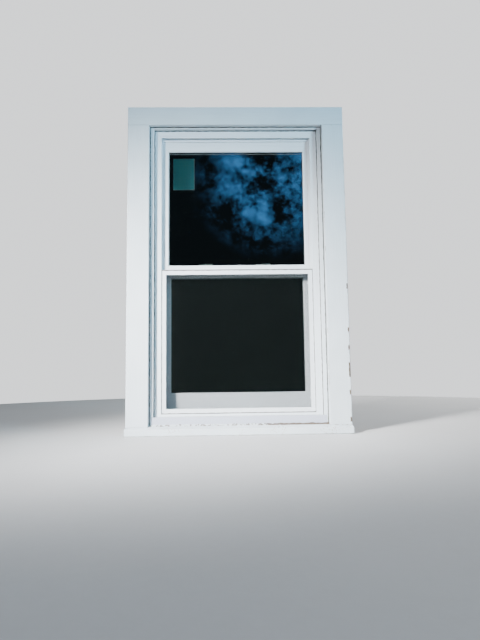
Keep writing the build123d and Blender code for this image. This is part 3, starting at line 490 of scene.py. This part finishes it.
def paint_surface(name, stretch, wear=1.0, specked=0.0, casing_shadow_line=False, flaked=None):
    """House paint brushed along a board, chipped to weathered wood at its edges, soiled and darkened with
    painted shade in its corners, and raw pine where it faces the wall. specked is the size of bare specks,
    the shadow-line flag asks for a painted shadow line along the casings' inner edge, and flaked is the X and
    Y of an arris that has flaked."""
    look = bpy.context.scene.window_finish
    made, tree, shader = surface(name, Specular_IOR_Level=0.4)
    marks = place(tree, brush_marks(), Stretch=stretch, Smoothest=0.38, Roughest=0.58)
    across_grain, along_grain = 70.0, 16.0
    chip_shape = [across_grain if part > min(stretch) else along_grain for part in stretch]
    chips = place(tree, edge_chips(), Reach=0.005, Stretch=chip_shape, Amount=look.wear * wear)["Mask"]
    # Painted shade with some soiling: corners and grooves are darkened where little sky reaches.
    dirt_and_shade = place(tree, corner_dirt_and_shade(), Reach=0.010, Scale=24.0, Amount=0.8)["Mask"]
    tint = blend(tree, marks["Tone"], rgba(look.paint, 0.93), rgba(look.paint))
    tint = blend(tree, dirt_and_shade, tint, rgba(look.grime_and_shade))
    if specked:
        spots = place(tree, specks(), Scale=190.0, Gather=9.0, Size=specked)["Mask"]
        tint = blend(tree, spots, tint, rgba(look.bare_wood, 1.4))
    tint = blend(tree, chips, tint, rgba(look.bare_wood))
    half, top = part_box("casing_right")[0][0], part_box("casing_head")[0][2]
    if casing_shadow_line:
        # Painted shadow: a dark line on the stops beside the casings' inner edge, where the casing steps
        # forward.
        casing_shadow = place(tree, rim_shadow_line(), Half_width=half, Bottom=-top, Top=top)["Mask"]
        tint = blend(tree, casing_shadow, tint, rgba(look.grime_and_shade, 0.35))
    if flaked:
        flakes = place(tree, flaked_edge(), Edge=flaked[0], Front=flaked[1])["Mask"]
        tint = blend(tree, flakes, tint, rgba(look.bare_wood, 0.5))
    jamb_half, jamb_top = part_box("wood_jamb_right")[1][0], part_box("wood_head_jamb")[1][2]
    hidden = place(
        tree, unpainted(), Jamb_half=jamb_half - SKIN, Jamb_top=jamb_top - SKIN, Opening_half=half + SKIN,
        Opening_top=top + SKIN)["Mask"]
    grain = noise(tree, scaled(tree, here(tree), stretch), scale=0.5, detail=5.0, roughness=0.7)
    wood = blend(tree, remap(tree, grain, 0.40, 0.62), rgba(look.raw_wood, 0.62), rgba(look.raw_wood))
    tint = blend(tree, hidden, tint, wood)
    rough = maths(tree, "MULTIPLY_ADD", chips, 0.3, marks["Roughness"])
    feed(tree, shader, Base_Color=tint, Roughness=rough)
    height = maths(tree, "MULTIPLY_ADD", chips, -0.5, marks["Height"])
    raised(tree, shader, height, depth=0.0007, rounding=0.0016)
    return made


def vinyl_surface(name, stretch, tint=None, seams=None, dirt_and_shade=0.9, roughness=(0.24, 0.36)):
    """Extruded vinyl: faint die lines along the bar, soft gloss, soiling and painted shade in its grooves,
    and welded corners.
    seams is (half width, bottom, top) of the frame whose bars meet at 45 degrees."""
    look = bpy.context.scene.window_finish
    tint = tint or look.shade_cooled_vinyl
    made, tree, shader = surface(name, Specular_IOR_Level=0.5, IOR=1.53)
    marks = place(tree, brush_marks(), Stretch=stretch, Smoothest=roughness[0], Roughest=roughness[1])
    # Painted shade with some soiling: grooves are darkened where little sky reaches.
    grimy_and_shaded = place(tree, corner_dirt_and_shade(), Reach=0.006, Scale=35.0, Amount=dirt_and_shade)["Mask"]
    base = blend(tree, marks["Tone"], rgba(tint, 0.97), rgba(tint))
    base = blend(tree, grimy_and_shaded, base, rgba(look.grime_and_shade, 0.8))
    height = marks["Height"]
    if seams:
        line = place(tree, corner_seams(), Half_width=seams[0], Bottom=seams[1], Top=seams[2])["Mask"]
        base = blend(tree, maths(tree, "MULTIPLY", line, 0.45), base, rgba(look.grime_and_shade))
        height = maths(tree, "MULTIPLY_ADD", line, -1.0, height)
    feed(tree, shader, Base_Color=base, Roughness=marks["Roughness"])
    raised(tree, shader, height, depth=0.00015, rounding=0.0007)
    return made


def glass_surface():
    """Clear glass with a faint tint, rolling very slightly, with a thin film of dust."""
    look = bpy.context.scene.window_finish
    made, tree, shader = surface(
        "Pane glass", Base_Color=rgba(look.glass), Transmission_Weight=1.0, Metallic=0.0, IOR=1.5)
    at = here(tree)
    film = remap(tree, noise(tree, at, scale=5.0, detail=5.0, roughness=0.65), 0.45, 0.75, 0.0, 0.05)
    feed(tree, shader, Roughness=film)
    raised(tree, shader, noise(tree, at, scale=2.2, detail=1.0), depth=0.0008)
    return made


def metal_surface(name, tint, roughness, stretch, metallic=1.0):
    """Metal with drawing marks along its length and a dulled, uneven face."""
    made, tree, shader = surface(name, Metallic=metallic)
    marks = place(tree, brush_marks(), Stretch=stretch, Smoothest=roughness - 0.08, Roughest=roughness + 0.12)
    dulled = blend(tree, marks["Tone"], rgba(tint, 0.78), rgba(tint))
    feed(tree, shader, Base_Color=dulled, Roughness=marks["Roughness"])
    raised(tree, shader, marks["Height"], depth=0.0001, rounding=0.0004)
    return made


def enamel_surface(name, dirt_and_shade=0.5, rim=None):
    """White enamel, with a fine orange peel, small edge chips, and soiling and painted shade in its corners.
    rim is (half width, bottom, top) of a frame with a painted shadow line round its outer rim."""
    look = bpy.context.scene.window_finish
    made, tree, shader = surface(name, Coat_Weight=0.2, Coat_Roughness=0.15)
    at = here(tree)
    peel = noise(tree, at, scale=500.0, detail=2.0)
    chips = place(tree, edge_chips(), Reach=0.0012, Stretch=(160.0, 160.0, 160.0), Amount=0.30)["Mask"]
    # Painted shade with some soiling: corners are darkened where little sky reaches.
    grimy_and_shaded = place(tree, corner_dirt_and_shade(), Reach=0.005, Scale=40.0, Amount=dirt_and_shade)["Mask"]
    tone = remap(tree, noise(tree, at, scale=14.0), 0.3, 0.7)
    base = blend(tree, tone, rgba(look.enamel, 0.95), rgba(look.enamel))
    base = blend(tree, grimy_and_shaded, base, rgba(look.grime_and_shade, 0.8))
    if rim:
        # Painted shadow: a dark line round the frame's outer rim, where it sits behind the lip in front.
        line = place(tree, rim_shadow_line(), Half_width=rim[0], Bottom=rim[1], Top=rim[2])["Mask"]
        base = blend(tree, line, base, rgba(look.grime_and_shade, 0.4))
    bare_metal = (0.42, 0.43, 0.44)
    base = blend(tree, chips, base, rgba(bare_metal))
    feed(tree, shader, Base_Color=base, Roughness=remap(tree, peel, 0.3, 0.7, 0.22, 0.34))
    raised(tree, shader, peel, depth=0.00006, rounding=0.0006)
    return made


def soft_surface(name, tint, scale, depth, roughness=0.85, sheen=0.0, contrast=0.6, gloss=0.3):
    """Matt surface with a fine grain in colour and relief, such as pile, nylon, thread or softwood."""
    made, tree, shader = surface(name, Sheen_Weight=sheen, Specular_IOR_Level=gloss)
    at = here(tree)
    grain = noise(tree, at, scale=scale, detail=5.0, roughness=0.65)
    slow = noise(tree, at, scale=scale / 14, detail=2.0)
    tone = remap(tree, maths(tree, "ADD", grain, slow), 0.7, 1.3)
    rough = remap(tree, grain, 0.3, 0.7, roughness - 0.12, roughness)
    feed(tree, shader, Base_Color=blend(tree, tone, rgba(tint, contrast), rgba(tint)), Roughness=rough)
    raised(tree, shader, grain, depth)
    return made


# A grain's scale along each axis. It runs along the axis with the smallest.
ALONG_X = (6.0, 260.0, 260.0)
ALONG_Z = (260.0, 260.0, 6.0)
SASHES = ("lower_", "upper_")
SILL_SLOPE = np.radians(10.0)
SENSOR = 36.0  # width of the camera's sensor, mm


class WINDOW_OT_surround(bpy.types.Operator):
    """Paints the wood surround, with brush marks along each board."""
    bl_idname = "window.surround"
    bl_label = "Wood surround"

    def execute(self, context):
        upright = paint_surface("Painted upright board", ALONG_Z)
        across = paint_surface("Painted cross board", ALONG_X)
        dress(upright, "wood_jamb_left", "wood_jamb_right", "inner_stops")
        # The stops get a painted shadow line beside the casings' inner edge.
        stop = paint_surface("Painted upright stop", ALONG_Z, casing_shadow_line=True)
        dress(stop, "blind_stop_left", "blind_stop_right")
        dress(paint_surface("Painted head stop", ALONG_X, casing_shadow_line=True), "blind_stop_head")
        dress(paint_surface("Painted left casing", ALONG_Z), "casing_left")
        low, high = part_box("casing_right")
        arris = high[0], low[1]
        dress(paint_surface("Painted right casing", ALONG_Z, wear=1.6, flaked=arris), "casing_right")
        dress(across, "casing_head", "wood_head_jamb")
        dress(paint_surface("Painted sill", ALONG_X, wear=1.4, specked=0.30), "wood_sill")
        dress(soft_surface("Softwood shim", (0.50, 0.33, 0.18), scale=240.0, depth=0.0003), "shims")
        return {"FINISHED"}


class WINDOW_OT_vinyl(bpy.types.Operator):
    """Finishes the vinyl frame, the sill angle and both sashes."""
    bl_idname = "window.vinyl"
    bl_label = "Vinyl frame and sashes"

    def execute(self, context):
        corner, far_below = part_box("frame_head")[1], -1.0  # no seams at the frame's foot
        seams = (corner[0], far_below, corner[2])
        dress(vinyl_surface("Vinyl jamb", ALONG_Z, seams=seams), "frame_jamb_left", "frame_jamb_right")
        dress(vinyl_surface("Vinyl head", ALONG_X, seams=seams), "frame_head")
        dress(vinyl_surface("Vinyl sill", ALONG_X), "frame_sill")
        # The strip over the sill joint is a darker, bluer grey vinyl.
        angle = context.scene.window_finish.darker_strip_vinyl
        dress(vinyl_surface("Darker grey strip", ALONG_X, angle, roughness=(0.45, 0.65)), "sill_angle")
        stile = vinyl_surface("Vinyl stile", ALONG_Z)
        rail = vinyl_surface("Vinyl rail", ALONG_X)
        for sash in SASHES:
            dress(stile, sash + "stile_left", sash + "stile_right")
            dress(rail, sash + "top_rail", sash + "bottom_rail", sash + "latch_left", sash + "latch_right")
            low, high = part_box(sash + "glazing_beads")
            rim = (high[0], low[2], high[2])
            bead = vinyl_surface("Vinyl bead " + sash[:-1], ALONG_X, seams=rim, dirt_and_shade=0.35)
            dress(bead, sash + "glazing_beads")
        return {"FINISHED"}


class WINDOW_OT_glazing(bpy.types.Operator):
    """Glazes both sashes and finishes their spacers and the blank sticker."""
    bl_idname = "window.glazing"
    bl_label = "Glazing"

    def execute(self, context):
        glass = glass_surface()
        dark = (0.05, 0.05, 0.055)
        spacer = metal_surface("Dark spacer bar", dark, roughness=0.45, stretch=ALONG_X, metallic=0.4)
        for sash in SASHES:
            dress(glass, sash + "outer_pane", sash + "inner_pane")
            dress(spacer, sash + "spacer")
        self.sticker(context.scene.window_finish.sticker)
        return {"FINISHED"}

    def sticker(self, tint):
        """Paper face with a pale margin at its right and lower edges."""
        margin, pale = 3.0 * MM, (0.55, 0.66, 0.66)
        low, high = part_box("sticker")
        made, tree, shader = surface("Sticker paper", Roughness=0.6)
        at = here(tree)
        parts = axes(tree, at)
        right = maths(tree, "GREATER_THAN", parts["X"], high[0] - margin)
        below = maths(tree, "LESS_THAN", parts["Z"], low[2] + margin)
        fibres = noise(tree, at, scale=700.0, detail=4.0)
        cloudy = remap(tree, maths(tree, "ADD", fibres, noise(tree, at, scale=16.0)), 0.7, 1.3)
        face = blend(tree, cloudy, rgba(tint, 0.88), rgba(tint))
        face = blend(tree, maths(tree, "MAXIMUM", right, below), face, rgba(pale))
        feed(tree, shader, Base_Color=face)
        raised(tree, shader, fibres, depth=0.00004)
        piece("blank_sticker", [self.paper(low, high)], "upper_sash", ["sticker"], made)

    def paper(self, low, high):
        """Thin sheet just behind the glass. Its corners are rounded, and its lower right corner lifts away
        from the glass by lift * u^sharp, where u runs from 0 to 1 across it."""
        free, thin, radius, lift = 0.02 * MM, 0.18 * MM, 2.5 * MM, 0.8 * MM
        arc_steps, face_steps, sharp = 6, 12, 10
        inset = radius * (1 - np.cos(np.linspace(0, np.pi / 2, arc_steps)))
        face = np.linspace(low[0] + 2 * radius, high[0] - 2 * radius, face_steps)
        x = np.concatenate([low[0] + inset, face, high[0] - inset[::-1]])
        edge = np.clip(radius - np.minimum(x - low[0], high[0] - x), 0, radius)
        round_off = radius - np.sqrt(radius ** 2 - edge ** 2)
        away = lift * ((x - low[0]) / (high[0] - low[0])) ** sharp
        front, top, bottom = low[1] + free, high[2] - round_off, low[2] + round_off
        corners = [(x, x * 0 + front, top), (x, x * 0 + front + thin, top), (x, front + thin + away, bottom),
                   (x, front + away, bottom)]
        return sweep(np.stack([np.stack(corner, axis=-1) for corner in corners], axis=1))


class WINDOW_OT_screen(bpy.types.Operator):
    """Weaves the insect mesh, ribs its spline and finishes the screen's bars and plungers."""
    bl_idname = "window.screen"
    bl_label = "Half screen"

    def execute(self, context):
        rng = np.random.default_rng(SEED)
        look, weave = context.scene.window_finish, context.scene.window_mesh
        low, high = (np.array(corner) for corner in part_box("screen_mesh"))
        skins = [thread for across, along in ((0, 2), (2, 0))
                 for thread in self.threads(rng, weave, low, high, across, along)]
        coating = soft_surface(
            "Coated thread", weave.thread_colour, scale=900.0, depth=0.00002, roughness=0.55, contrast=0.7,
            gloss=0.08)
        mesh = piece("insect_mesh", skins, "screen", ["screen_mesh"], coating, smooth=True)
        self.spline(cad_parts["screen_spline"])
        foot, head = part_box("screen_frame")
        # The screen's bars get a painted shadow line round their outer rim.
        dress(enamel_surface("Screen enamel", rim=(head[0], foot[2], head[2])), "screen_frame")
        nylon = soft_surface(
            "Plunger nylon", look.enamel, scale=300.0, depth=0.00004, roughness=0.45, contrast=0.9)
        dress(nylon, "screen_plunger_lower", "screen_plunger_upper")
        return {"FINISHED"}

    def threads(self, rng, weave, low, high, across, along):
        """Flattened six-sided prisms side by side. Ring r of thread t lies at across = first + t * pitch plus
        a slow wander, and along = low + r * span / segments. Each is as deep as the cloth, fused where they
        cross."""
        sides, segments = 6, 7
        pitch = weave.pitch
        count = int((high[across] - low[across] - weave.thread) / pitch) + 1
        first = (low[across] + high[across] - (count - 1) * pitch) / 2
        turn = round_turn(sides)
        rings = np.zeros((count, segments + 1, sides, 3))
        stray = rng.uniform(-1, 1, (count, segments + 1)) * weave.wander
        stray[[0, -1]] = 0
        rings[..., across] = (
            (first + pitch * np.arange(count)[:, None] + stray)[..., None] + weave.thread / 2 * np.cos(turn))
        rings[..., 1] = (low[1] + high[1]) / 2 + (high[1] - low[1]) / 2 * np.sin(turn)
        rings[..., along] = np.linspace(low[along], high[along], segments + 1)[None, :, None]
        return [sweep(thread) for thread in rings]

    def spline(self, made):
        """Rubber with ribs across it: a sine of x + z, so they cross the runs along both axes. Its troughs
        are painted darker than its crests, as shade.
        """
        pitch, shaded_trough, crest = 2.2 * MM, (0.012, 0.012, 0.012), (0.04, 0.04, 0.04)
        rubber, tree, shader = surface("Ribbed rubber", Roughness=0.7)
        parts = axes(tree, here(tree))
        way = maths(tree, "MULTIPLY", maths(tree, "ADD", parts["X"], parts["Z"]), 2 * np.pi / pitch)
        ribs = remap(tree, maths(tree, "SINE", way), -1.0, 1.0)
        # Painted shade: the colour follows the ribs and is darker in the troughs.
        feed(tree, shader, Base_Color=blend(tree, ribs, rgba(shaded_trough), rgba(crest)))
        raised(tree, shader, ribs, depth=0.0004)
        dress(rubber, made.name)
        return made


class WINDOW_OT_caulk(bpy.types.Operator):
    """Runs uneven beads of caulk round the vinyl frame, darkened to a painted shadow line, and along the foot
    of the sill angle, where they are painted.
    """
    bl_idname = "window.caulk"
    bl_label = "Caulk"

    def execute(self, context):
        rng = np.random.default_rng(SEED)
        settings = context.scene.window_caulk
        side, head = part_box("blind_stop_right"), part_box("blind_stop_head")
        shown, back, top = side[0][0], side[1][1], head[0][2]
        (_, front, foot), (_, _, shelf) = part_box("sill_angle")
        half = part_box("casing_right")[0][0]
        left, right = Vector((1, 0, 0)), Vector((-1, 0, 0))
        out, down = Vector((0, -1, 0)), Vector((0, 0, -1))
        slope = Vector((0, -np.cos(SILL_SLOPE), -np.sin(SILL_SLOPE)))
        runs = (
            ((shown, back, shelf), (shown, back, top), right, out, settings.size),
            ((-shown, back, shelf), (-shown, back, top), left, out, settings.size),
            ((-shown, back, top), (shown, back, top), down, out, settings.size),
            ((-half, front, foot), (half, front, foot), slope, -down, settings.foot),
        )
        skins = [self.bead(rng, settings, *run) for run in runs]
        piece("caulk_beads", skins, "frame", ["caulk"], self.finish(half), smooth=True)
        return {"FINISHED"}

    def finish(self, half):
        """Near black round the frame, a painted shadow line where the frame meets the stops; painted along
        the foot, where it has broken away in bits, most of them towards the right."""
        look = bpy.context.scene.window_finish
        made, tree, shader = surface("Old caulk", Roughness=0.8)
        at = here(tree)
        parts = axes(tree, at)
        pits = noise(tree, at, scale=210.0, detail=5.0, roughness=0.7)
        lumps = noise(tree, at, scale=75.0, detail=4.0, roughness=0.7)
        painted = maths(tree, "LESS_THAN", parts["Y"], 0.0)
        rightwards = remap(tree, parts["X"], -0.1 * half, 0.9 * half, -0.05, 0.15)
        bits = remap(tree, maths(tree, "ADD", lumps, rightwards), 0.48, 0.52)
        foot = blend(tree, bits, rgba(look.paint, 0.8), rgba(look.bare_wood, 0.5))
        pitted = remap(tree, pits, 0.4, 0.6)
        # Painted shadow: the bead round the frame is near black so that it reads as a dark gap.
        round_frame_shade = blend(tree, pitted, rgba(look.grime_and_shade, 0.1), rgba(look.grime_and_shade, 0.45))
        feed(tree, shader, Base_Color=blend(tree, painted, round_frame_shade, foot))
        raised(tree, shader, pits, depth=0.0008)
        return made

    def bead(self, rng, settings, start, end, first, second, size):
        """Bead in the corner of two faces. At each place along it a hollow curve runs from one face to the
        other: a * cos(t)^hollow along the first and b * sin(t)^hollow along the second, for t from 0 to 90
        degrees, where the legs a and b change slowly along the bead."""
        sunk, step, hollow, waves, corners = 0.15 * MM, 4 * MM, 2.4, 9, 6
        start, end = np.array(start), np.array(end)
        count = int(np.linalg.norm(end - start) / step)
        legs = []
        for _ in range(2):
            narrow = (1 + wandering(count, rng, waves)) / 2 * settings.unevenness
            legs.append(size * (1 - narrow))
        t = np.linspace(0, np.pi / 2, corners)
        a = legs[0][:, None] * np.cos(t) ** hollow
        b = legs[1][:, None] * np.sin(t) ** hollow
        first, second = np.array(first), np.array(second)
        line = start + (end - start) * np.linspace(0, 1, count)[:, None]
        corner = line - sunk * (first + second)
        skin = corner[:, None] + a[..., None] * first + b[..., None] * second
        return sweep(np.concatenate([corner[:, None], skin], axis=1))


class WINDOW_OT_seals(bpy.types.Operator):
    """Makes the pile strips and the bulb under the lower sash."""
    bl_idname = "window.seals"
    bl_label = "Weather seals"

    def execute(self, context):
        rng = np.random.default_rng(SEED)
        grey = (0.30, 0.31, 0.32)
        pile = soft_surface(
            "Grey pile", grey, scale=1400.0, depth=0.0004, roughness=0.95, sheen=0.3, contrast=0.45)
        for sash in SASHES:
            skins = [self.strip(rng, low, high) for low, high in solids(sash + "seals")]
            piece(sash + "pile_strips", skins, sash + "sash", [sash + "seals"], pile, smooth=True)
        return {"FINISHED"}

    def strip(self, rng, low, high):
        """Rounded strip filling its CAD box: a squared circle, |u|^3 + |v|^3 = 1, in each section, with its
        skin pushed in by chance, up to deepest, to stand for fibres."""
        count, corners, squared, deepest = 240, 12, 3, 0.10
        turn = round_turn(corners)
        u = np.sign(np.cos(turn)) * np.abs(np.cos(turn)) ** (2 / squared)
        v = np.sign(np.sin(turn)) * np.abs(np.sin(turn)) ** (2 / squared)
        long = int(np.argmax(high - low))
        others = [axis for axis in range(3) if axis != long]
        middle, half = (low + high) / 2, (high - low) / 2
        rings = np.zeros((count, corners, 3))
        rings[..., long] = np.linspace(low[long], high[long], count)[:, None]
        for axis, across in zip(others, (u, v)):
            pushed = 1 - deepest * rng.random((count, corners))
            rings[..., axis] = middle[axis] + half[axis] * across * pushed
        return sweep(rings)


class WINDOW_OT_balances(bpy.types.Operator):
    """Twists the spiral rods, turns the screws and finishes the rest of the balances."""
    bl_idname = "window.balances"
    bl_label = "Spiral balances"

    def execute(self, context):
        plate, silver, ivory = (0.55, 0.56, 0.58), (0.66, 0.67, 0.69), (0.60, 0.60, 0.57)
        zinc = metal_surface("Zinc plate", plate, roughness=0.34, stretch=ALONG_Z)
        for sash, body in (("lower_", "lower_carriage"), ("upper_", "upper_sash")):
            skins = [self.rod(low, high) for low, high in solids(sash + "spiral_rods")]
            piece(sash + "twisted_rods", skins, body, [sash + "spiral_rods"], zinc)
            nylon = soft_surface(
                sash + "shoe nylon", ivory, scale=300.0, depth=0.00005, roughness=0.5, contrast=0.85)
            dress(nylon, sash + "shoes")
            dress(zinc, sash + "pivot_bars")
        tube = metal_surface("Tube aluminium", silver, roughness=0.30, stretch=ALONG_Z)
        dress(tube, "balance_tubes")
        skins = [skin for low, high in solids("jamb_screws") for skin in self.screw(low, high)]
        piece("turned_screws", skins, "frame", ["jamb_screws"], zinc)
        return {"FINISHED"}

    def rod(self, low, high):
        """Strip twisted about its axis: each corner turns by 2 pi * rise / pitch, the other way round on
        the left."""
        width, thickness, pitch, step = 7 * MM, 2 * MM, 95 * MM, 2.5 * MM
        middle = (low + high) / 2
        rise = np.arange(0, high[2] - low[2], step)
        turn = (2 * np.pi * rise / pitch * np.sign(middle[0]))[:, None]
        u = np.array([-1, 1, 1, -1]) * width / 2
        v = np.array([-1, -1, 1, 1]) * thickness / 2
        x = middle[0] + u * np.cos(turn) - v * np.sin(turn)
        y = middle[1] + u * np.sin(turn) + v * np.cos(turn)
        z = np.broadcast_to(low[2] + rise[:, None], x.shape)
        return sweep(np.stack([x, y, z], axis=-1))

    def screw(self, low, high):
        """Head and threaded shank along X, away from the window's middle. The head is a shallow dome,
        head * sqrt(1 - rise^4). The thread is a wave of the shank's radius that turns once in a pitch."""
        outward = np.sign(low[0] + high[0])
        start, end = (low[0], high[0]) if outward > 0 else (high[0], low[0])
        y, z = (low[1:] + high[1:]) / 2
        head, depth, underside = (high[2] - low[2]) / 2, 1.5 * MM, 0.3 * MM
        core, crest, pitch, point = 1.5 * MM, 2.0 * MM, 1.4 * MM, 4 * MM
        sides, dome_steps, pitch_steps, top, blunt = 12, 6, 5, 0.98, 0.15
        turn = round_turn(sides)
        rise = np.linspace(top, 0.0, dome_steps)
        dome_x = start + outward * depth * (1 - rise)
        dome_r = np.append(head * np.sqrt(1 - rise ** 4), underside)
        dome_x = np.append(dome_x, dome_x[-1])
        along = np.arange(0, abs(end - start) - depth, pitch / pitch_steps)
        phase = (along[:, None] / pitch - turn / (2 * np.pi)) % 1
        taper = np.clip((along[-1] - along) / point, blunt, 1)[:, None]
        shank_r = (core + (crest - core) * np.abs(1 - 2 * phase) ** 2) * taper

        def rings(x, radius):
            """Circles about the screw's axis, one at each x."""
            x = np.broadcast_to(x[:, None], radius.shape)
            return np.stack([x, y + radius * np.cos(turn), z + radius * np.sin(turn)], axis=-1)

        return [sweep(rings(dome_x, np.repeat(dome_r[:, None], sides, axis=1))),
                sweep(rings(start + outward * (depth + along), shank_r))]


class WINDOW_OT_locks(bpy.types.Operator):
    """Enamels the locks and keepers."""
    bl_idname = "window.locks"
    bl_label = "Locks"

    def execute(self, context):
        enamel = enamel_surface("Lock enamel", dirt_and_shade=0.6)
        dress(enamel, "lock_bases", "lock_lever_left", "lock_lever_right", "keepers")
        return {"FINISHED"}


class WINDOW_OT_stage(bpy.types.Operator):
    """Lays the pale floor, hangs the soft lights and sets the camera."""
    bl_idname = "window.stage"
    bl_label = "Stage"

    def execute(self, context):
        scene, stage = context.scene, context.scene.window_stage
        self.floor(CAD_BOX[0][2])
        self.light("Key light", stage.key, (-2.2, -2.3, 1.7), 0.6, (1.0, 0.98, 0.97), aim=0.18, spread=34.0)
        self.light("Fill light", stage.fill, (2.8, -2.2, 1.7), 0.8, (0.42, 0.78, 1.0), aim=0.95, spread=45.0)
        self.light("Overhead light", stage.overhead, (0.0, -0.3, 4.2), 3.0, (0.86, 0.93, 1.0))
        self.light("Room light", stage.back, (3.2, 3.0, 3.0), 2.0, (1.0, 0.98, 0.95))
        self.soften(self.light("Sky light", stage.sky, (0.45, -3.6, 2.45), 2.0, (0.10, 0.42, 1.0)))
        self.surround(stage.surround)
        camera = linked("Camera", bpy.data.cameras.new("Camera"))
        camera.data.sensor_width, camera.data.lens = SENSOR, stage.lens
        pitch, yaw, roll = stage.turn
        level = Matrix.Rotation(yaw, 3, "Z") @ Matrix.Rotation(np.pi / 2 + pitch, 3, "X")
        camera.location = stage.camera
        camera.rotation_euler = (level @ Matrix.Rotation(roll, 3, "Z")).to_euler()
        scene.camera = camera
        return {"FINISHED"}

    def floor(self, level):
        """Round matt floor: rings of growing radius and the face in their middle, without the outer face
        that would close them."""
        rings, steps, reach, forward = 24, 96, 2.9, 0.2
        radius = reach * np.linspace(1 / rings, 1, rings)[:, None]
        turn = round_turn(steps)
        x, y = radius * np.cos(turn), radius * np.sin(turn) - forward
        points, faces = sweep(np.stack([x, y, np.full((rings, steps), level)], axis=-1))
        upwards = [face[::-1] for face in faces[:-1]]
        mesh = bpy.data.meshes.new("floor")
        mesh.from_pydata(points.tolist(), [], upwards)
        grey = (0.64, 0.65, 0.66)
        pale = soft_surface("Pale floor", grey, scale=40.0, depth=0.0004, roughness=0.9, contrast=0.96)
        mesh.materials.append(pale)
        linked("floor", mesh)

    def light(self, name, strength, place, size, tint, aim=0.5, spread=180.0):
        """Square soft light that faces the window's middle line, at the share aim of its height."""
        lamp = bpy.data.lights.new(name, "AREA")
        lamp.energy, lamp.size, lamp.color, lamp.spread = strength, size, tint, np.radians(spread)
        made = linked(name, lamp)
        made.location = place
        target = Vector((0, 0, CAD_BOX[0][2] * (1 - aim) + CAD_BOX[1][2] * aim))
        made.rotation_euler = (target - made.location).to_track_quat("-Z", "Y").to_euler()
        return lamp

    def soften(self, lamp):
        """Lets a light fade from its middle to its edge, in soft mottled patches."""
        lamp.use_nodes = True
        tree, middle = lamp.node_tree, (0.5, 0.5, 0.0)
        at = node(tree, "NewGeometry").outputs["Parametric"]
        away = node(tree, "VectorMath", {0: at, 1: middle}, operation="DISTANCE").outputs["Value"]
        patches = remap(tree, noise(tree, at, scale=5.0, detail=6.0, roughness=0.7), 0.42, 0.68)
        glow = maths(tree, "MULTIPLY", remap(tree, away, 0.5, 0.12), patches)
        feed(tree, tree.nodes["Emission"], Strength=glow)

    def surround(self, strength):
        """Soft light from all round, bluer from above, behind a plain pale backdrop. The panes mirror and
        show only a faint part of it, as if the room were dark."""
        level_tint, upper_tint, faint = (0.68, 0.82, 0.93), (0.46, 0.72, 0.96), 0.012
        backdrop, bright = (0.86, 0.88, 0.90), 1.6
        world = bpy.data.worlds.new("Studio")
        world.use_nodes = True
        bpy.context.scene.world = world
        tree = world.node_tree
        way = node(tree, "TexCoord").outputs["Generated"]
        above = remap(tree, axes(tree, way)["Z"], 0.0, 0.5)
        rays = node(tree, "LightPath").outputs
        lit = maths(tree, "MULTIPLY_ADD", rays["Is Diffuse Ray"], strength, faint)
        soft = tree.nodes["Background"]
        feed(tree, soft, Color=blend(tree, above, rgba(level_tint), rgba(upper_tint)), Strength=lit)
        plain = node(tree, "Background", {"Color": rgba(backdrop), "Strength": bright})
        mixed = node(tree, "MixShader", {0: rays["Is Camera Ray"], 1: soft.outputs[0], 2: plain.outputs[0]})
        feed(tree, tree.nodes["World Output"], Surface=mixed.outputs[0])


OPERATORS = (
    WINDOW_OT_surround, WINDOW_OT_vinyl, WINDOW_OT_glazing, WINDOW_OT_screen, WINDOW_OT_caulk,
    WINDOW_OT_seals, WINDOW_OT_balances, WINDOW_OT_locks, WINDOW_OT_stage,
)
SETTINGS = {
    "window_finish": WINDOW_PG_finish, "window_mesh": WINDOW_PG_mesh, "window_caulk": WINDOW_PG_caulk,
    "window_stage": WINDOW_PG_stage,
}


class WINDOW_PT_sidebar(bpy.types.Panel):
    """Lists the window's settings and operators."""
    bl_idname = "WINDOW_PT_sidebar"
    bl_label = "Sash Window"
    bl_space_type = "VIEW_3D"
    bl_region_type = "UI"
    bl_category = "Sash Window"

    def draw(self, context):
        for name, settings in SETTINGS.items():
            column = self.layout.column(align=True)
            for key in settings.__annotations__:
                column.prop(getattr(context.scene, name), key)
        for operator in OPERATORS:
            self.layout.operator(operator.bl_idname)


def register():
    for settings in SETTINGS.values():
        bpy.utils.register_class(settings)
    for name, settings in SETTINGS.items():
        setattr(bpy.types.Scene, name, bpy.props.PointerProperty(type=settings))
    for made in (*OPERATORS, WINDOW_PT_sidebar):
        bpy.utils.register_class(made)


def unregister():
    for made in (WINDOW_PT_sidebar, *OPERATORS[::-1]):
        bpy.utils.unregister_class(made)
    for name, settings in SETTINGS.items():
        delattr(bpy.types.Scene, name)
        bpy.utils.unregister_class(settings)


def main():
    register()
    for operator in OPERATORS:
        group_name, name = operator.bl_idname.split(".")
        getattr(getattr(bpy.ops, group_name), name)()


if __name__ == "__main__":
    main()
